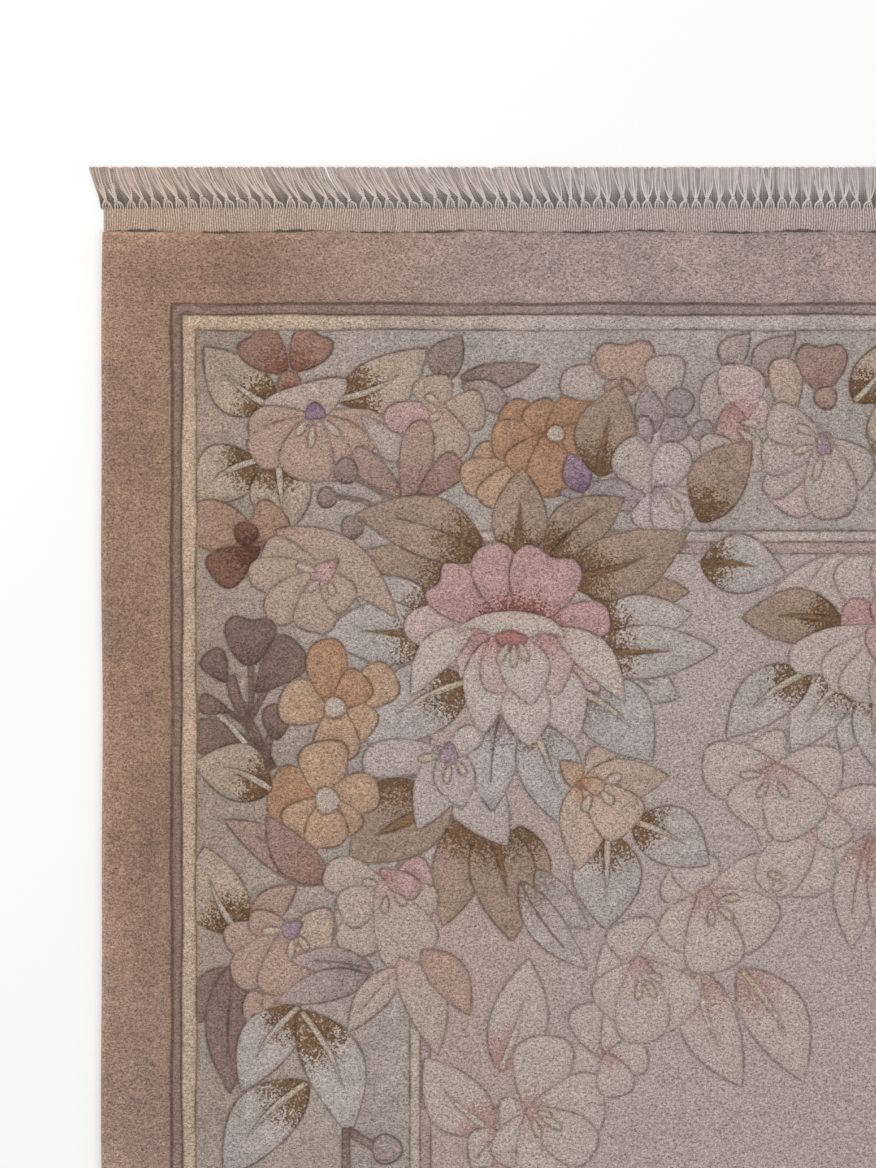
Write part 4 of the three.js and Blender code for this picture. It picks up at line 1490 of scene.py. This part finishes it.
# %% one end's fringe
def fringe_end(name, at_near_end, seed):
    draw = np.random.default_rng(seed)
    yarns = Yarns()
    for lock in range(LOCKS):
        x = (lock + 0.5) * LOCK_PITCH - PILE_HALF_WIDTH
        lean = lean_at(x)
        outermost = lock in (0, LOCKS - 1)
        sway = 0 if outermost else draw.uniform(-1.9, 1.9)
        drift = 0 if outermost else draw.uniform(-2.2, 2.2)
        knot_x = x + 0.12 * lean + sway
        knot_y = FRINGE_START + KNOT_OUT + draw.uniform(-2.4, 2.4)
        add_legs(yarns, draw, x, knot_x, knot_y)
        add_knot(yarns, draw, knot_x, knot_y)
        add_fan(yarns, draw, knot_x, knot_y, x + lean + drift - knot_x)
        add_under(yarns, draw, x, lean, outermost)
    piece = yarns.to_piece(name)
    edit_only(piece)
    if at_near_end:
        turn_to_near_end()
    bpy.ops.object.mode_set(mode="OBJECT")
    bpy.ops.object.shade_smooth_by_angle(angle=math.radians(80))
    return piece


fringe_far = fringe_end("knotted_fringe_far", False, 11)
fringe_near = fringe_end("knotted_fringe_near", True, 12)
print("fringe faces", len(fringe_far.data.polygons))

# %% [markdown]
# Two-ply undyed yarn. The plies cross the yarn as fine slanted lines, which its own UV map carries along
# every curve: the first coordinate runs along the yarn in metres and the second once around it.

# %% twisted yarn
TWIST = 2.4 * MM
yarn_finish, tree = new_finish("twisted undyed warp yarn")
split = node(tree, "SeparateXYZ", {0: node(tree, "UVMap", uv_map="yarn")}).node
around = node(tree, "Math", {0: split.outputs[1], 1: 2.0}, operation="MULTIPLY")
slant = node(tree, "Math", {0: split.outputs[0], 1: 1 / TWIST, 2: around}, operation="MULTIPLY_ADD")
slant = node(tree, "Math", {0: slant, 1: 2 * math.pi}, operation="MULTIPLY")
ply = node(tree, "Math", {0: slant}, operation="SINE")
place = node(tree, "TexCoord", output="Object")
uneven = node(tree, "TexNoise", {"Scale": 1 / (6.667 * MM), "Detail": 2.0, "Vector": place})
# Each yarn's painted light and shade, set along it when the fringe is built.
light = node(tree, "Attribute", output="Fac", attribute_name="yarn_light")
# Painted shade in the slanted creases between the plies and a painted highlight on their crowns.
plies = node(tree, "MapRange", {0: ply, FROM_LOW: -1.0, TO_LOW: 0.94, TO_HIGH: 1.04})
tone = node(tree, "MapRange", {**MIDDLE, 0: uneven, TO_LOW: 0.95, TO_HIGH: 1.06})
for part in (light, plies):
    tone = node(tree, "Math", {0: tone, 1: part}, operation="MULTIPLY")
hue = undyed_hue(tree, place, uneven, "#d6cac6", "#d1bfb0")
spun = node(tree, "VectorMath", {0: hue, "Scale": tone}, operation="SCALE")
bump = node(tree, "Bump", {"Strength": 0.5, "Distance": 0.25 * MM, "Height": ply})
shader = node(tree, "BsdfPrincipled", {"Base Color": spun, "Roughness": 0.8, "Specular IOR Level": 0.25,
                                       "Normal": bump})
node(tree, "OutputMaterial", {"Surface": shader})
for piece in (fringe_far, fringe_near):
    piece.data.materials.append(yarn_finish)
print("yarn finish has", len(tree.nodes), "nodes")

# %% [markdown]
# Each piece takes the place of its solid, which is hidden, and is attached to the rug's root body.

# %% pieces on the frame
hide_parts("rug_body")
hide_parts("fringe_far")
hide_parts("fringe_near")
for piece, slot in [(pile, "pile"), (flat_far, "fringe"), (flat_near, "fringe"), (fringe_far, "fringe"),
                    (fringe_near, "fringe")]:
    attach(piece, "root")

# %% [markdown]
# The stage is a plain pale floor under soft light from all round, as in a catalogue picture from straight
# above.

# %% floor
bpy.ops.object.select_all(action="DESELECT")
bpy.ops.mesh.primitive_plane_add(size=14, location=(0, 0, -0.4 * MM))
floor = bpy.context.object
floor.name = "studio_floor"
pale, tree = new_finish("matt white studio floor")
shader = node(tree, "BsdfPrincipled", {"Base Color": (0.97, 0.97, 0.97, 1), "Roughness": 0.95,
                                       "Specular IOR Level": 0.0})
node(tree, "OutputMaterial", {"Surface": shader})
floor.data.materials.append(pale)

# %% light
world = bpy.data.worlds.new("soft studio")
world.use_nodes = True
background = world.node_tree.nodes["Background"]
background.inputs["Color"].default_value = (1, 1, 1, 1)
background.inputs["Strength"].default_value = 0.52
bpy.context.scene.world = world
bpy.context.scene.view_settings.view_transform = "Standard"


def soft_light(name, place, size, power):
    lamp = bpy.data.lights.new(name, "AREA")
    lamp.shape = "DISK"
    lamp.size = size
    lamp.energy = power
    held = bpy.data.objects.new(name, lamp)
    held.location = place
    held.rotation_euler = (-Vector(place)).to_track_quat("-Z", "Y").to_euler()
    bpy.context.collection.objects.link(held)


soft_light("window_side", (-2.6, 3.4, 4.6), 3.0, 155)
soft_light("room_side", (3.2, -2.0, 5.0), 3.5, 74)

# %% camera straight above the corner that the picture shows
CAMERA_HEIGHT = 3.5
VIEW_LENGTH = 1.168
VIEW_CENTRE = (-0.462, 0.846)
SENSOR = 36.0
camera_data = bpy.data.cameras.new("camera")
camera_data.sensor_width = SENSOR
camera_data.lens = SENSOR * CAMERA_HEIGHT / VIEW_LENGTH
camera = bpy.data.objects.new("camera", camera_data)
camera.location = (*VIEW_CENTRE, CAMERA_HEIGHT + PILE_TOP * MM)
bpy.context.collection.objects.link(camera)
bpy.context.scene.camera = camera
